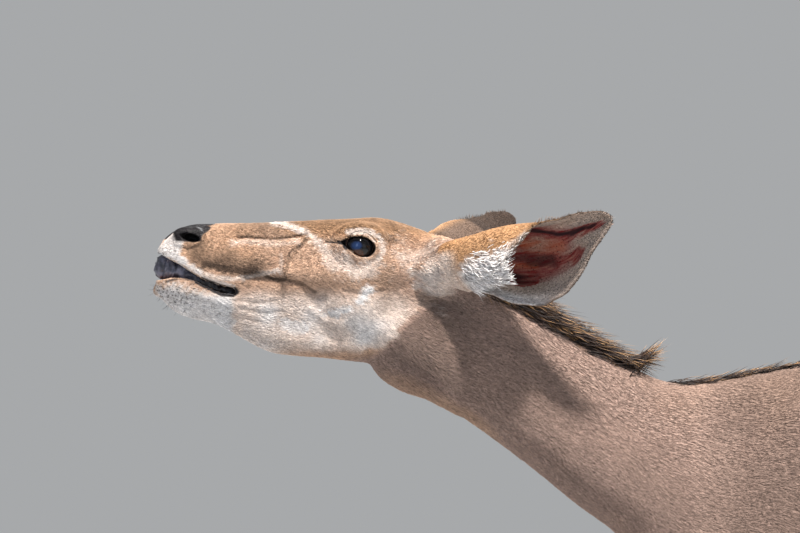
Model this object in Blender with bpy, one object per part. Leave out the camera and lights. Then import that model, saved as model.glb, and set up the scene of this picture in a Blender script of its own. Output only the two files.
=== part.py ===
"""Greater kudu cow, life size, standing with the neck stretched forward and the muzzle level.

Metres, +Z up. She faces -X and her left side is -Y. The origin is on the floor, under the middle of her box.
The body is one blended form of lofted masses, parted into its nodes by thin cuts. Ears, eyes, tongue and hooves are
pieces of their own, and the crest and the tail carry their locks.
"""

import random
from math import copysign, cos, exp, hypot, pi, sin

import bmesh
import bpy
from mathutils import Matrix, Vector
from mathutils.bvhtree import BVHTree

# ---- driving sizes -------------------------------------------------------------------------------------------------
WITHERS = Vector((-0.17, 0.0, 1.22))     # top of the shoulder hump, before the crest's hair
EYE = Vector((-0.594, 0.0, 0.118))       # middle of the eye, seen from the side, from the withers
TO_MIDDLE = Vector((0.126, -0.0345, 0))     # brings the middle of the box over the origin
GAP = 0.0003                             # what touching nodes keep between them
FLOOR = 0.0

EYE_RADIUS = 0.0185
EYE_SIDE = 0.0425                        # from the middle plane to the eyeball's centre
EAR_LENGTH = 0.247
EAR_THICK = 0.0034
BODY_VOXEL = 0.0055
HEAD_VOXEL = 0.0035

HOOF_TOP = 0.048
STEP = {("fore", "left"): 0.045, ("fore", "right"): -0.035, ("hind", "left"): 0.045, ("hind", "right"): -0.050}
FOOT = {"fore": (-0.127, -1, 0.097), "hind": (0.753, 1, 0.095)}     # along the body, way of a step, to the side

SIDES = (("left", -1), ("right", 1))
random.seed(11)


# ---- small tools ---------------------------------------------------------------------------------------------------
def spline(rows, steps):
    """Rows of numbers smoothed by a Catmull-Rom curve, with this many steps between each two rows."""
    padded = [rows[0], *rows, rows[-1]]
    found = []
    for i in range(len(rows) - 1):
        a, b, c, d = padded[i : i + 4]
        for k in range(steps):
            t = k / steps
            found.append([
                0.5 * (2 * q + (r - p) * t + (2 * p - 5 * q + 4 * r - s) * t * t + (3 * q - p - 3 * r + s) * t**3)
                for p, q, r, s in zip(a, b, c, d)
            ])
    found.append(list(rows[-1]))
    return found


def rounded_ends(rows):
    """The rows with two more at each end, which close it as a dome."""
    def dome(last, before):
        end = Vector(last[:3])
        ahead = (end - Vector(before[:3])).normalized()
        made = []
        for out, scale in ((0.38, 0.88), (0.62, 0.55)):
            place = end + ahead * (out * min(last[3], last[4]))
            made.append([*place, last[3] * scale, last[4] * scale, last[5]])
        return made
    return [*reversed(dome(rows[0], rows[1])), *rows, *dome(rows[-1], rows[-2])]


def mesh_object(name, verts, faces):
    mesh = bpy.data.meshes.new(name)
    mesh.from_pydata([tuple(v) for v in verts], [], faces)
    obj = bpy.data.objects.new(name, mesh)
    bpy.context.scene.collection.objects.link(obj)
    return obj


def drop(obj):
    bpy.data.objects.remove(obj, do_unlink=True)


def tube(name, rows, sides=16, steps=3, across=Vector((0, 1, 0))):
    """A closed loft with rounded ends. Each row is x, y, z, half width, half depth and egg, which widens the side that
    the loft's first ring has uppermost."""
    rows = [list(row) + [0.0] * (6 - len(row)) for row in rows]
    rows = rounded_ends(spline(rows, steps))
    centres = [Vector(row[:3]) for row in rows]
    verts, faces = [], []
    above = Vector((0, 0, 1))
    for i, row in enumerate(rows):
        ahead = (centres[min(i + 1, len(rows) - 1)] - centres[max(i - 1, 0)]).normalized()
        side = (across - ahead * across.dot(ahead)).normalized()
        deep = ahead.cross(side)
        if deep.dot(above) < 0:
            deep = -deep
        above = deep
        width, depth, egg = row[3:6]
        for k in range(sides):
            turn = 2 * pi * k / sides
            verts.append(centres[i] + side * (cos(turn) * width * (1 + egg * sin(turn))) + deep * (sin(turn) * depth))
    for i in range(len(rows) - 1):
        for k in range(sides):
            a, b = i * sides + k, i * sides + (k + 1) % sides
            faces.append((a, b, b + sides, a + sides))
    faces.append(tuple(range(sides))[::-1])
    faces.append(tuple(len(verts) - sides + k for k in range(sides)))
    obj = mesh_object(name, verts, faces)
    face_out(obj)
    return obj


def face_out(obj):
    bm = bmesh.new()
    bm.from_mesh(obj.data)
    bmesh.ops.recalc_face_normals(bm, faces=bm.faces)
    if bm.calc_volume(signed=True) < 0:
        bmesh.ops.reverse_faces(bm, faces=bm.faces)
    bm.to_mesh(obj.data)
    bm.free()


def ball(name, centre, radii, level=3, turn=0.0):
    """An ellipsoid, turned about the side axis."""
    bm = bmesh.new()
    bmesh.ops.create_icosphere(bm, subdivisions=level, radius=1.0)
    bm.transform(Matrix.Translation(centre) @ Matrix.Rotation(turn, 4, "Y") @ Matrix.Diagonal((*radii, 1)))
    mesh = bpy.data.meshes.new(name)
    bm.to_mesh(mesh)
    bm.free()
    obj = bpy.data.objects.new(name, mesh)
    bpy.context.scene.collection.objects.link(obj)
    return obj


def settle(obj):
    """Applies the object's modifiers, and leaves a plain mesh."""
    graph = bpy.context.evaluated_depsgraph_get()
    mesh = bpy.data.meshes.new_from_object(obj.evaluated_get(graph))
    obj.modifiers.clear()
    obj.data = mesh
    return obj


def copy_of(obj, name):
    other = obj.copy()
    other.data = obj.data.copy()
    other.name = name
    bpy.context.scene.collection.objects.link(other)
    return other


def join(name, pieces):
    """The pieces' meshes in one object, still overlapping."""
    bm = bmesh.new()
    for piece in pieces:
        bm.from_mesh(piece.data)
        drop(piece)
    mesh = bpy.data.meshes.new(name)
    bm.to_mesh(mesh)
    bm.free()
    obj = bpy.data.objects.new(name, mesh)
    bpy.context.scene.collection.objects.link(obj)
    return obj


def softness(place):
    """How far creases are smoothed away: all over the trunk, less at the back of the head, and little on the thin legs
    and the muzzle."""
    above_knees = min(max((place.z - 0.45) / 0.30, 0.0), 1.0)
    behind_head = min(max((place.x - WITHERS.x + 0.52) / 0.12, 0.0), 1.0)
    behind_lips = min(max((place.x - WITHERS.x + 0.76) / 0.08, 0.0), 1.0) * above_knees
    return 0.10 + 0.45 * behind_lips + 0.45 * above_knees * behind_head


def blended(name, pieces, voxel, rounds):
    """One skin over overlapping pieces, with its creases smoothed away."""
    obj = join(name, pieces)
    remesh = obj.modifiers.new("Remesh", "REMESH")
    remesh.mode = "VOXEL"
    remesh.voxel_size = voxel
    settle(obj)
    soft = obj.vertex_groups.new(name="soft")
    for vert in obj.data.vertices:
        soft.add([vert.index], softness(vert.co), "REPLACE")
    smooth = obj.modifiers.new("Smooth", "SMOOTH")
    smooth.factor = 0.5
    smooth.iterations = rounds
    smooth.vertex_group = "soft"
    return settle(obj)


def wrap_neck(body, head_body):
    """Draws the body's neck onto the finer head's, so that the two meet without a step."""
    near = body.vertex_groups.new(name="near")
    for vert in body.data.vertices:
        near.add([vert.index], min(max((WITHERS.x - 0.33 - vert.co.x) / 0.12, 0.0), 1.0), "REPLACE")
    wrap = body.modifiers.new("Shrinkwrap", "SHRINKWRAP")
    wrap.target = head_body
    wrap.vertex_group = "near"
    settle(body)


def thinned(obj, faces):
    """Fewer triangles, about this many."""
    obj.data.calc_loop_triangles()
    decimate = obj.modifiers.new("Decimate", "DECIMATE")
    decimate.ratio = faces / len(obj.data.loop_triangles)
    decimate.use_collapse_triangulate = True
    return settle(obj)


def boolean(obj, other, operation, solver="EXACT"):
    modifier = obj.modifiers.new(operation, "BOOLEAN")
    modifier.operation = operation
    modifier.solver = solver
    modifier.object = other
    settle(obj)
    return keep_largest(obj)


def keep_largest(obj):
    """Keeps the largest closed surface."""
    bm = bmesh.new()
    bm.from_mesh(obj.data)
    left, groups = set(bm.verts), []
    while left:
        front = [left.pop()]
        group = set(front)
        while front:
            for edge in front.pop().link_edges:
                for vert in edge.verts:
                    if vert in left:
                        left.discard(vert)
                        group.add(vert)
                        front.append(vert)
        groups.append(group)
    groups.sort(key=len)
    for group in groups[:-1]:
        bmesh.ops.delete(bm, geom=list(group), context="VERTS")
    bmesh.ops.triangulate(bm, faces=bm.faces)
    bm.to_mesh(obj.data)
    bm.free()
    return obj


def block(name, low, high, turn=0.0, about=None):
    """A box between two corners, turned about the side axis at a point."""
    low, high = Vector(low), Vector(high)
    about = Vector(about) if about else (low + high) / 2
    bm = bmesh.new()
    bmesh.ops.create_cube(bm, size=1.0)
    size = high - low
    bm.transform(Matrix.Translation((low + high) / 2) @ Matrix.Diagonal((*size, 1)))
    bm.transform(Matrix.Translation(about) @ Matrix.Rotation(turn, 4, "Y") @ Matrix.Translation(-about))
    mesh = bpy.data.meshes.new(name)
    bm.to_mesh(mesh)
    bm.free()
    obj = bpy.data.objects.new(name, mesh)
    bpy.context.scene.collection.objects.link(obj)
    return obj


def at(x, y, z):
    """A place measured from the withers, over the floor."""
    return (WITHERS.x + x, y, z)


def on_head(forward, side, height):
    """A place on the head: forward of the eye, to one side of the middle, and above the eye."""
    return (WITHERS.x + EYE.x - forward, side, WITHERS.z + EYE.z + height)


# ---- the masses of the body ----------------------------------------------------------------------------------------
def limb(name, rows, across=Vector((0, 1, 0)), **shape):
    """A loft whose rows are measured from the withers along the body, and from the floor in height."""
    return tube(name, [(*at(*row[:3]), *row[3:]) for row in rows], across=across, **shape)


def muscle(name, x, y, z, radii, turn=0.0):
    return ball(name, at(x, y, z), radii, turn=turn)


def torso_masses():
    """Ribs, belly and rump: x from the withers, side, middle height, half width, half depth, egg."""
    trunk = [
        (-0.215, 0, 0.915, 0.078, 0.120, 0.00),
        (-0.150, 0, 0.935, 0.112, 0.198, -0.20),
        (-0.050, 0, 0.952, 0.134, 0.245, -0.42),
        (0.060, 0, 0.946, 0.152, 0.250, -0.40),
        (0.200, 0, 0.930, 0.174, 0.238, -0.25),
        (0.340, 0, 0.926, 0.187, 0.226, -0.14),
        (0.460, 0, 0.934, 0.181, 0.214, -0.12),
        (0.570, 0, 0.956, 0.164, 0.198, -0.06),
        (0.680, 0, 0.982, 0.146, 0.176, 0.05),
        (0.770, 0, 0.995, 0.112, 0.148, 0.00),
        (0.830, 0, 0.998, 0.078, 0.112, 0.00),
    ]
    pieces = [limb("trunk", trunk, sides=24)]
    pieces.append(muscle("brisket", -0.158, 0, 0.850, (0.082, 0.074, 0.122), turn=-0.40))
    for _, side in SIDES:
        pieces += [
            muscle("hip", 0.620, side * 0.068, 1.052, (0.125, 0.062, 0.088), turn=0.2),
            muscle("croup", 0.735, side * 0.052, 1.036, (0.140, 0.066, 0.096), turn=0.3),
            muscle("buttock", 0.822, side * 0.048, 0.968, (0.056, 0.042, 0.125), turn=-0.10),
            muscle("flank", 0.505, side * 0.118, 0.866, (0.140, 0.050, 0.110), turn=0.35),
            muscle("chest", -0.148, side * 0.054, 0.905, (0.095, 0.066, 0.130), turn=-0.3),
        ]
    return pieces


def neck_masses():
    """The neck from the skull into the chest, and its crest over it."""
    neck = [
        (-0.560, 0, 1.256, 0.044, 0.050, 0.00),
        (-0.515, 0, 1.230, 0.050, 0.062, 0.00),
        (-0.437, 0, 1.196, 0.053, 0.073, -0.08),
        (-0.358, 0, 1.149, 0.060, 0.082, -0.12),
        (-0.280, 0, 1.099, 0.072, 0.094, -0.15),
        (-0.205, 0, 1.052, 0.092, 0.104, -0.20),
        (-0.090, 0, 0.980, 0.110, 0.180, -0.20),
    ]
    crest = [
        (-0.535, 0, 1.300, 0.034, 0.030),
        (-0.490, 0, 1.300, 0.040, 0.038),
        (-0.440, 0, 1.262, 0.040, 0.040),
        (-0.380, 0, 1.214, 0.042, 0.045),
        (-0.310, 0, 1.168, 0.044, 0.050),
        (-0.230, 0, 1.120, 0.050, 0.060),
        (-0.130, 0, 1.120, 0.060, 0.070),
        (-0.020, 0, 1.140, 0.060, 0.070),
    ]
    throat = [
        (-0.574, 0, 1.219, 0.018, 0.020),
        (-0.556, 0, 1.207, 0.026, 0.031),
        (-0.532, 0, 1.197, 0.034, 0.036),
        (-0.500, 0, 1.190, 0.041, 0.039),
        (-0.460, 0, 1.172, 0.047, 0.042),
    ]
    return [limb("neck", neck, sides=20), limb("crest", crest, sides=16), limb("throat", throat, sides=16)]


def foreleg_masses(side, step):
    """Shoulder blade, upper arm, forearm and cannon. The foot stands a step forward of its place."""
    leg = [
        (-0.085, side * 0.105, 0.800, 0.044, 0.075),
        (-0.068, side * 0.106, 0.715, 0.042, 0.066),
        (-0.070 - step * 0.10, side * 0.106, 0.620, 0.037, 0.052),
        (-0.078 - step * 0.30, side * 0.104, 0.520, 0.030, 0.040),
        (-0.083 - step * 0.48, side * 0.102, 0.455, 0.027, 0.033),
        (-0.088 - step * 0.58, side * 0.101, 0.408, 0.030, 0.035),
        (-0.085 - step * 0.65, side * 0.100, 0.366, 0.026, 0.029),
        (-0.081 - step * 0.75, side * 0.099, 0.310, 0.0185, 0.0220),
        (-0.080 - step * 0.87, side * 0.098, 0.210, 0.0175, 0.0210),
        (-0.080 - step * 0.95, side * 0.097, 0.150, 0.0195, 0.0240),
        (-0.083 - step, side * 0.097, 0.122, 0.0235, 0.0270),
        (-0.095 - step, side * 0.097, 0.090, 0.0210, 0.0225),
        (-0.108 - step, side * 0.097, 0.062, 0.0240, 0.0260),
        (-0.116 - step, side * 0.097, 0.046, 0.0245, 0.0280),
        (-0.119 - step, side * 0.097, 0.036, 0.0240, 0.0260),
    ]
    return [
        limb("foreleg", leg),
        muscle("blade", -0.070, side * 0.062, 0.990, (0.112, 0.060, 0.200), turn=0.40),
        muscle("triceps", -0.024, side * 0.102, 0.862, (0.098, 0.050, 0.128), turn=0.55),
        muscle("shoulder_point", -0.146, side * 0.086, 0.885, (0.075, 0.052, 0.100), turn=-0.2),
        muscle("upper_arm", -0.110, side * 0.108, 0.800, (0.062, 0.044, 0.085), turn=-0.5),
        muscle("elbow", -0.022, side * 0.104, 0.745, (0.032, 0.026, 0.045), turn=0.4),
        muscle("forearm", -0.075, side * 0.112, 0.640, (0.040, 0.030, 0.090)),
    ]


def hindleg_masses(side, step):
    """Thigh, gaskin, hock and cannon."""
    leg = [
        (0.685, side * 0.100, 0.850, 0.060, 0.110),
        (0.690, side * 0.108, 0.760, 0.050, 0.090),
        (0.722 + step * 0.15, side * 0.107, 0.670, 0.039, 0.064),
        (0.768 + step * 0.35, side * 0.103, 0.595, 0.029, 0.045),
        (0.800 + step * 0.50, side * 0.100, 0.535, 0.026, 0.040),
        (0.812 + step * 0.58, side * 0.099, 0.495, 0.028, 0.040),
        (0.808 + step * 0.65, side * 0.098, 0.448, 0.025, 0.033),
        (0.802 + step * 0.75, side * 0.097, 0.380, 0.0195, 0.0250),
        (0.800 + step * 0.88, side * 0.096, 0.250, 0.0180, 0.0225),
        (0.800 + step * 0.96, side * 0.095, 0.165, 0.0200, 0.0250),
        (0.797 + step, side * 0.095, 0.130, 0.0240, 0.0280),
        (0.785 + step, side * 0.095, 0.095, 0.0210, 0.0225),
        (0.772 + step, side * 0.095, 0.064, 0.0240, 0.0260),
        (0.764 + step, side * 0.095, 0.046, 0.0245, 0.0280),
        (0.761 + step, side * 0.095, 0.036, 0.0240, 0.0260),
    ]
    heel = [
        (0.792 + step * 0.40, side * 0.101, 0.610, 0.010, 0.013),
        (0.834 + step * 0.48, side * 0.100, 0.562, 0.012, 0.014),
        (0.850 + step * 0.53, side * 0.099, 0.530, 0.016, 0.017),
        (0.838 + step * 0.58, side * 0.098, 0.485, 0.014, 0.014),
    ]
    return [
        limb("hindleg", leg),
        limb("heel", heel),
        muscle("thigh", 0.738, side * 0.088, 0.915, (0.116, 0.060, 0.185), turn=-0.12),
        muscle("quadriceps", 0.648, side * 0.108, 0.885, (0.078, 0.052, 0.145), turn=0.30),
        muscle("hamstring", 0.785, side * 0.090, 0.800, (0.062, 0.048, 0.130), turn=0.25),
        muscle("stifle", 0.640, side * 0.118, 0.775, (0.045, 0.036, 0.050)),
        muscle("gaskin", 0.725 + step * 0.15, side * 0.112, 0.690, (0.052, 0.034, 0.095), turn=-0.45),
    ]


def head_masses():
    """The head in one loft: forward of the eye, top and bottom against the eye, half width, and how far the lower half
    narrows. Eye sockets, ear roots, nose and lips are set on it."""
    sections = [
        (0.2445, -0.018, -0.052, 0.010, 0.75),
        (0.242, -0.004, -0.058, 0.017, 0.80),
        (0.236, 0.009, -0.066, 0.0225, 0.85),
        (0.226, 0.018, -0.076, 0.0270, 0.85),
        (0.214, 0.024, -0.083, 0.0295, 0.82),
        (0.198, 0.028, -0.088, 0.0310, 0.80),
        (0.176, 0.0285, -0.093, 0.0320, 0.75),
        (0.151, 0.0288, -0.105, 0.0330, 0.68),
        (0.130, 0.029, -0.117, 0.0340, 0.62),
        (0.106, 0.030, -0.128, 0.0370, 0.58),
        (0.077, 0.0312, -0.132, 0.0420, 0.58),
        (0.045, 0.0328, -0.134, 0.0480, 0.60),
        (0.010, 0.034, -0.138, 0.0530, 0.62),
        (-0.020, 0.0355, -0.140, 0.0545, 0.66),
        (-0.045, 0.0305, -0.134, 0.0525, 0.70),
        (-0.070, 0.0215, -0.115, 0.0480, 0.72),
        (-0.095, 0.011, -0.088, 0.0420, 0.75),
        (-0.118, 0.000, -0.060, 0.0320, 0.80),
    ]
    rows, sides = spline(sections, 3), 28
    verts, faces = [], []
    for forward, top, bottom, width, low in rows:
        middle, half = (top + bottom) / 2, (top - bottom) / 2
        for k in range(sides):
            turn = 2 * pi * k / sides
            up = copysign(abs(sin(turn)) ** 0.86, sin(turn))
            out = copysign(abs(cos(turn)) ** 0.78, cos(turn))
            under = max(0.45 - up, 0.0) / 1.45
            narrow = 1 - (1 - low) * under * under * (3 - 2 * under)
            verts.append(on_head(forward, width * out * narrow, middle + half * up))
    for i in range(len(rows) - 1):
        for k in range(sides):
            a, b = i * sides + k, i * sides + (k + 1) % sides
            faces.append((a, b, b + sides, a + sides))
    faces.append(tuple(range(sides))[::-1])
    faces.append(tuple(len(verts) - sides + k for k in range(sides)))
    skull = mesh_object("skull", verts, faces)
    face_out(skull)
    pieces = [skull, ball("lower_lip", on_head(0.229, 0, -0.0525), (0.0205, 0.017, 0.0120))]
    for _, side in SIDES:
        pieces += [
            ball("orbit", on_head(-0.001, side * 0.036, 0.000), (0.041, 0.0262, 0.031)),
            ball("ear_base", on_head(-0.096, side * 0.034, -0.024), (0.038, 0.027, 0.038)),
            ball("nostril_wing", on_head(0.201, side * 0.0185, 0.010), (0.0255, 0.0125, 0.0150), turn=0.20),
        ]
    return pieces


# What is raised or sunk on each side of the head: height, reach, and a line of places forward of the eye and over it.
RELIEF = (
    (0.0050, 0.015, ((0.085, -0.036), (0.045, -0.031), (0.000, -0.034), (-0.045, -0.028), (-0.085, -0.020))),
    (-0.0050, 0.015, ((-0.048, 0.006), (-0.070, 0.002))),
    (-0.0030, 0.016, ((0.058, 0.004), (0.048, -0.008))),
    (0.0055, 0.030, ((-0.002, -0.074), (-0.028, -0.092))),
    (-0.0030, 0.014, ((0.052, -0.066), (0.036, -0.106))),
    (0.0030, 0.012, ((0.110, -0.104), (0.050, -0.118), (0.000, -0.122))),
    (-0.0034, 0.007, ((0.135, -0.036), (0.095, -0.038), (0.072, -0.043), (0.048, -0.060))),
    (0.0030, 0.008, ((0.150, -0.030), (0.110, -0.028), (0.085, -0.030))),
    (-0.0025, 0.009, ((0.192, -0.018), (0.145, -0.024))),
    (-0.0020, 0.005, ((0.150, 0.011), (0.075, 0.012))),
    (0.0020, 0.006, ((0.150, 0.019), (0.075, 0.020))),
    (0.0020, 0.004, ((0.064, 0.012), (0.074, 0.000), (0.086, -0.016), (0.090, -0.030))),
    (0.0035, 0.007, ((0.238, -0.006), (0.215, -0.016), (0.185, -0.033), (0.150, -0.043))),
    (0.0035, 0.011, ((0.238, -0.048), (0.205, -0.052), (0.165, -0.064))),
    (-0.0020, 0.010, ((0.175, -0.084), (0.150, -0.088))),
)


def distance_to(line, point):
    """How far a point of the side view lies from a line of places."""
    nearest = 1e9
    for (ax, ay), (bx, by) in zip(line, line[1:]):
        dx, dy = bx - ax, by - ay
        t = ((point[0] - ax) * dx + (point[1] - ay) * dy) / (dx * dx + dy * dy)
        t = min(max(t, 0.0), 1.0)
        nearest = min(nearest, hypot(point[0] - ax - t * dx, point[1] - ay - t * dy))
    return nearest


def sculpt_head(obj):
    """Raises the cheek bones, jaw and lips, and sinks the hollows and creases between them."""
    moved = []
    for vert in obj.data.vertices:
        place = (WITHERS.x + EYE.x - vert.co.x, vert.co.z - WITHERS.z - EYE.z)
        shift = sum(height * exp(-((distance_to(line, place) / reach) ** 2)) for height, reach, line in RELIEF)
        moved.append(vert.co + vert.normal * shift * min(1.0, abs(vert.co.y) / 0.012))
    for vert, place in zip(obj.data.vertices, moved):
        vert.co = place


# ---- parting the body ----------------------------------------------------------------------------------------------
def part_off(body, name, cutter):
    """Takes what lies in a block out of the body as a node of its own, and leaves the gap between them. The block is
    a function of how much larger to make it."""
    piece = copy_of(body, name)
    inside = cutter(0.0)
    boolean(piece, inside, "INTERSECT")
    drop(inside)
    wider = cutter(GAP)
    boolean(body, wider, "DIFFERENCE")
    drop(wider)
    return piece


def head_block(grow):
    """All that lies ahead of a plane from the nape to the throat."""
    x, _, z = at(-0.504, 0, 1.254)
    return block("head_block", (x - 0.60, -0.4, z - 0.35), (x + grow, 0.4, z + 0.35), turn=0.63, about=(x, 0, z))


def neck_block(grow):
    x, _, z = at(-0.250, 0, 1.075)
    return block("neck_block", (x - 0.50, -0.3, z - 0.30), (x + grow, 0.3, z + 0.30), turn=0.42, about=(x, 0, z))


def leg_block(side, x0, x1, inner, top, rise=0.0):
    """All of one leg under a plane at this height, which rises towards the tail."""
    def made(grow):
        ys = sorted((side * (inner - grow), side * 0.35))
        x = WITHERS.x + x0
        low, high = (x - grow, ys[0], top - 1.2), (WITHERS.x + x1 + grow, ys[1], top + grow)
        return block("leg_block", low, high, turn=rise, about=(x, 0, top))
    return made


def grown(obj, by=GAP):
    """A copy whose surface stands this far outside the first."""
    copy = copy_of(obj, obj.name + "_grown")
    for vert in copy.data.vertices:
        vert.co += vert.normal * by
    return copy


def cleared(piece, *others, by=GAP * 1.4):
    """Cuts a piece clear of what it meets."""
    for other in others:
        wider = grown(other, by)
        boolean(piece, wider, "DIFFERENCE")
        drop(wider)
    return piece


# ---- face ----------------------------------------------------------------------------------------------------------
def prism(name, outline, low, high, flare=0.0):
    """A closed outline of the side view, drawn out sideways between two places, and larger at the outer one."""
    count = len(outline)
    verts = [on_head(f * (1 + more), y, h * (1 + more)) for y, more in ((low, 0.0), (high, flare)) for f, h in outline]
    faces = [tuple(range(count)), tuple(range(count, 2 * count))[::-1]]
    faces += [(k, (k + 1) % count, count + (k + 1) % count, count + k) for k in range(count)]
    obj = mesh_object(name, verts, faces)
    face_out(obj)
    return obj


UPPER_LIP = ((0.240, -0.0075), (0.233, -0.012), (0.215, -0.0215), (0.200, -0.0315), (0.185, -0.040), (0.166, -0.0462),
             (0.149, -0.0505))
LOWER_LIP = ((0.149, -0.0575), (0.166, -0.0560), (0.179, -0.0500), (0.196, -0.0415), (0.209, -0.0380), (0.227, -0.0380),
             (0.240, -0.0408))
LID_LINE = ((0.0215, 0.0054), (0.0132, 0.0094), (0.0045, 0.0128), (-0.0045, 0.0130), (-0.0125, 0.0088),
            (-0.0172, 0.0008), (-0.0164, -0.0060), (-0.0105, -0.0107), (-0.0005, -0.0112), (0.0095, -0.0070),
            (0.0165, 0.0002))


def mouth_gap(less=0.0):
    """The opening between the lips, out past the front of the face."""
    line = [(f, h - less) for f, h in UPPER_LIP] + [(f, h + less) for f, h in LOWER_LIP]
    ahead = [(0.275, line[-1][1]), (0.275, line[0][1])]
    return prism("mouth_gap", line + ahead, -0.08, 0.08)


def finish_face(head):
    """Cuts the mouth, nostrils and eye sockets, and sets the eyes under their lids."""
    gap = mouth_gap()
    boolean(head, gap, "DIFFERENCE")
    drop(gap)
    for name, side in SIDES:
        centre = on_head(0.0, side * EYE_SIDE, 0.0)
        lids = ball("lids", centre, [EYE_RADIUS + 0.0032] * 3)
        boolean(head, lids, "UNION")
        opening = prism("opening", LID_LINE, side * (EYE_SIDE + 0.006), side * 0.078, flare=0.35)
        boolean(head, opening, "DIFFERENCE")
        socket = ball("socket", centre, [EYE_RADIUS + GAP] * 3)
        boolean(head, socket, "DIFFERENCE")
        nostril = ball("nostril", on_head(0.2055, side * 0.031, 0.0112), (0.0135, 0.0140, 0.0066), level=2, turn=0.25)
        boolean(head, nostril, "DIFFERENCE")
        for cutter in (lids, opening, socket, nostril):
            drop(cutter)
        ball(f"eye_{name}", centre, [EYE_RADIUS] * 3)


def add_tongue():
    rows = [(0.152, -0.054, 0.012, 0.010), (0.168, -0.050, 0.016, 0.012), (0.190, -0.040, 0.020, 0.016),
            (0.212, -0.031, 0.022, 0.018), (0.231, -0.026, 0.019, 0.018), (0.2375, -0.026, 0.0145, 0.0135)]
    tongue = tube("tongue", [(*on_head(f, 0, h), wide, deep) for f, h, wide, deep in rows], sides=10, steps=1)
    gap = mouth_gap(less=GAP)
    boolean(tongue, gap, "INTERSECT")
    drop(gap)
    return tongue


# ---- ears ----------------------------------------------------------------------------------------------------------
# Along the ear: half width, how far its middle hangs below its axis, half depth of the cup, and how far its wall goes
# round from the back: over the top and front, and underneath. Near the base the two all but meet.
EAR_SHAPE = (
    (0.00, 0.0260, 0.0030, 0.0200, 4.20, 1.57),
    (0.10, 0.0345, 0.0092, 0.0238, 4.10, 1.56),
    (0.20, 0.0420, 0.0170, 0.0285, 3.48, 1.52),
    (0.33, 0.0520, 0.0263, 0.0344, 3.23, 1.46),
    (0.43, 0.0548, 0.0300, 0.0378, 3.20, 1.43),
    (0.50, 0.0540, 0.0310, 0.0377, 2.52, 1.40),
    (0.57, 0.0503, 0.0307, 0.0357, 2.17, 1.37),
    (0.61, 0.0475, 0.0303, 0.0340, 1.72, 1.35),
    (0.70, 0.0405, 0.0262, 0.0285, 1.40, 1.28),
    (0.785, 0.0318, 0.0188, 0.0214, 1.24, 1.19),
    (0.870, 0.0236, 0.0129, 0.0150, 1.05, 1.05),
    (0.925, 0.0170, 0.0113, 0.0105, 0.95, 0.95),
    (0.964, 0.0060, 0.0120, 0.0045, 0.85, 0.85),
)
# What fills the ear's tube at its base, from inside the head: along the ear, and its share of the tube's width.
EAR_ROOT = ((-0.12, 0.80), (-0.06, 0.92), (0.00, 0.96), (0.06, 0.95), (0.10, 0.72))
# Each ear's base on the head, its axis, and the way that its cup faces.
EAR_LIE = {
    "left": ((-0.104, -0.046, -0.018), (0.80, -0.54, 0.264), (-0.30, -0.90, -0.35)),
    "right": ((-0.093, 0.044, -0.006), (0.38, 0.88, 0.215), (-0.83, 0.05, -0.41)),
}


def add_ear(name, base, axis, facing, others, turns=11):
    """A cupped leaf, rolled to a tube at its root, whose front wall wraps over and leaves it open towards its tip. It
    is cut clear of the others."""
    base, axis, facing = Vector(base), Vector(axis).normalized(), Vector(facing)
    facing = (facing - axis * facing.dot(axis)).normalized()
    across = axis.cross(facing)
    if across.z > 0:
        across = -across

    def on_wall(u, half, hang, deep, angle, share=1.0, less=0.0):
        """A place on the wall, this far round it, at a share of its width less a thickness."""
        middle = base + axis * (EAR_LENGTH * u) + across * hang + facing * (deep * min(1.0, 0.35 + 0.65 * u))
        wide, high = (max(size * share - less, 0.35 * size) for size in (half, deep))
        return middle + across * (sin(angle) * wide) - facing * (cos(angle) * high)

    verts, faces = [], []
    for inner in (0, 1):
        for u, half, hang, deep, over, under in EAR_SHAPE:
            for k in range(turns + 1):
                share = k / turns
                edge = 1 - 0.45 * abs(2 * share - 1) ** 4
                thick = EAR_THICK * (1 - 0.45 * max(u, 0.0)) * edge * inner
                verts.append(on_wall(u, half, hang, deep, -over + (over + under) * share, less=thick))
    wide, count = turns + 1, len(EAR_SHAPE)
    shell = count * wide
    for i in range(count - 1):
        for k in range(turns):
            a, b = i * wide + k, i * wide + k + 1
            faces.append((a, b, b + wide))
            faces.append((a, b + wide, a + wide))
            faces.append((a + shell, b + wide + shell, b + shell))
            faces.append((a + shell, a + wide + shell, b + wide + shell))
        for k in (0, turns):
            a = i * wide + k
            faces.append((a, a + wide, a + wide + shell, a + shell))
    for i in (0, count - 1):
        for k in range(turns):
            a = i * wide + k
            faces.append((a, a + 1, a + 1 + shell, a + shell))
    ear = mesh_object(name, verts, faces)
    face_out(ear)

    sides = 14
    _, half, hang, deep, *_ = EAR_SHAPE[0]
    verts, faces = [], []
    for u, share in EAR_ROOT:
        row = EAR_SHAPE[1][1:4] if u > 0.05 else (half, hang, deep)
        verts += [on_wall(u, *row, 2 * pi * k / sides, share=share) for k in range(sides)]
    for i in range(len(EAR_ROOT) - 1):
        for k in range(sides):
            a, b = i * sides + k, i * sides + (k + 1) % sides
            faces.append((a, b, b + sides, a + sides))
    faces.append(tuple(range(sides))[::-1])
    faces.append(tuple(len(verts) - sides + k for k in range(sides)))
    stub = mesh_object("stub", verts, faces)
    face_out(stub)
    boolean(ear, stub, "UNION")
    drop(stub)
    return cleared(ear, *others)


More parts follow.
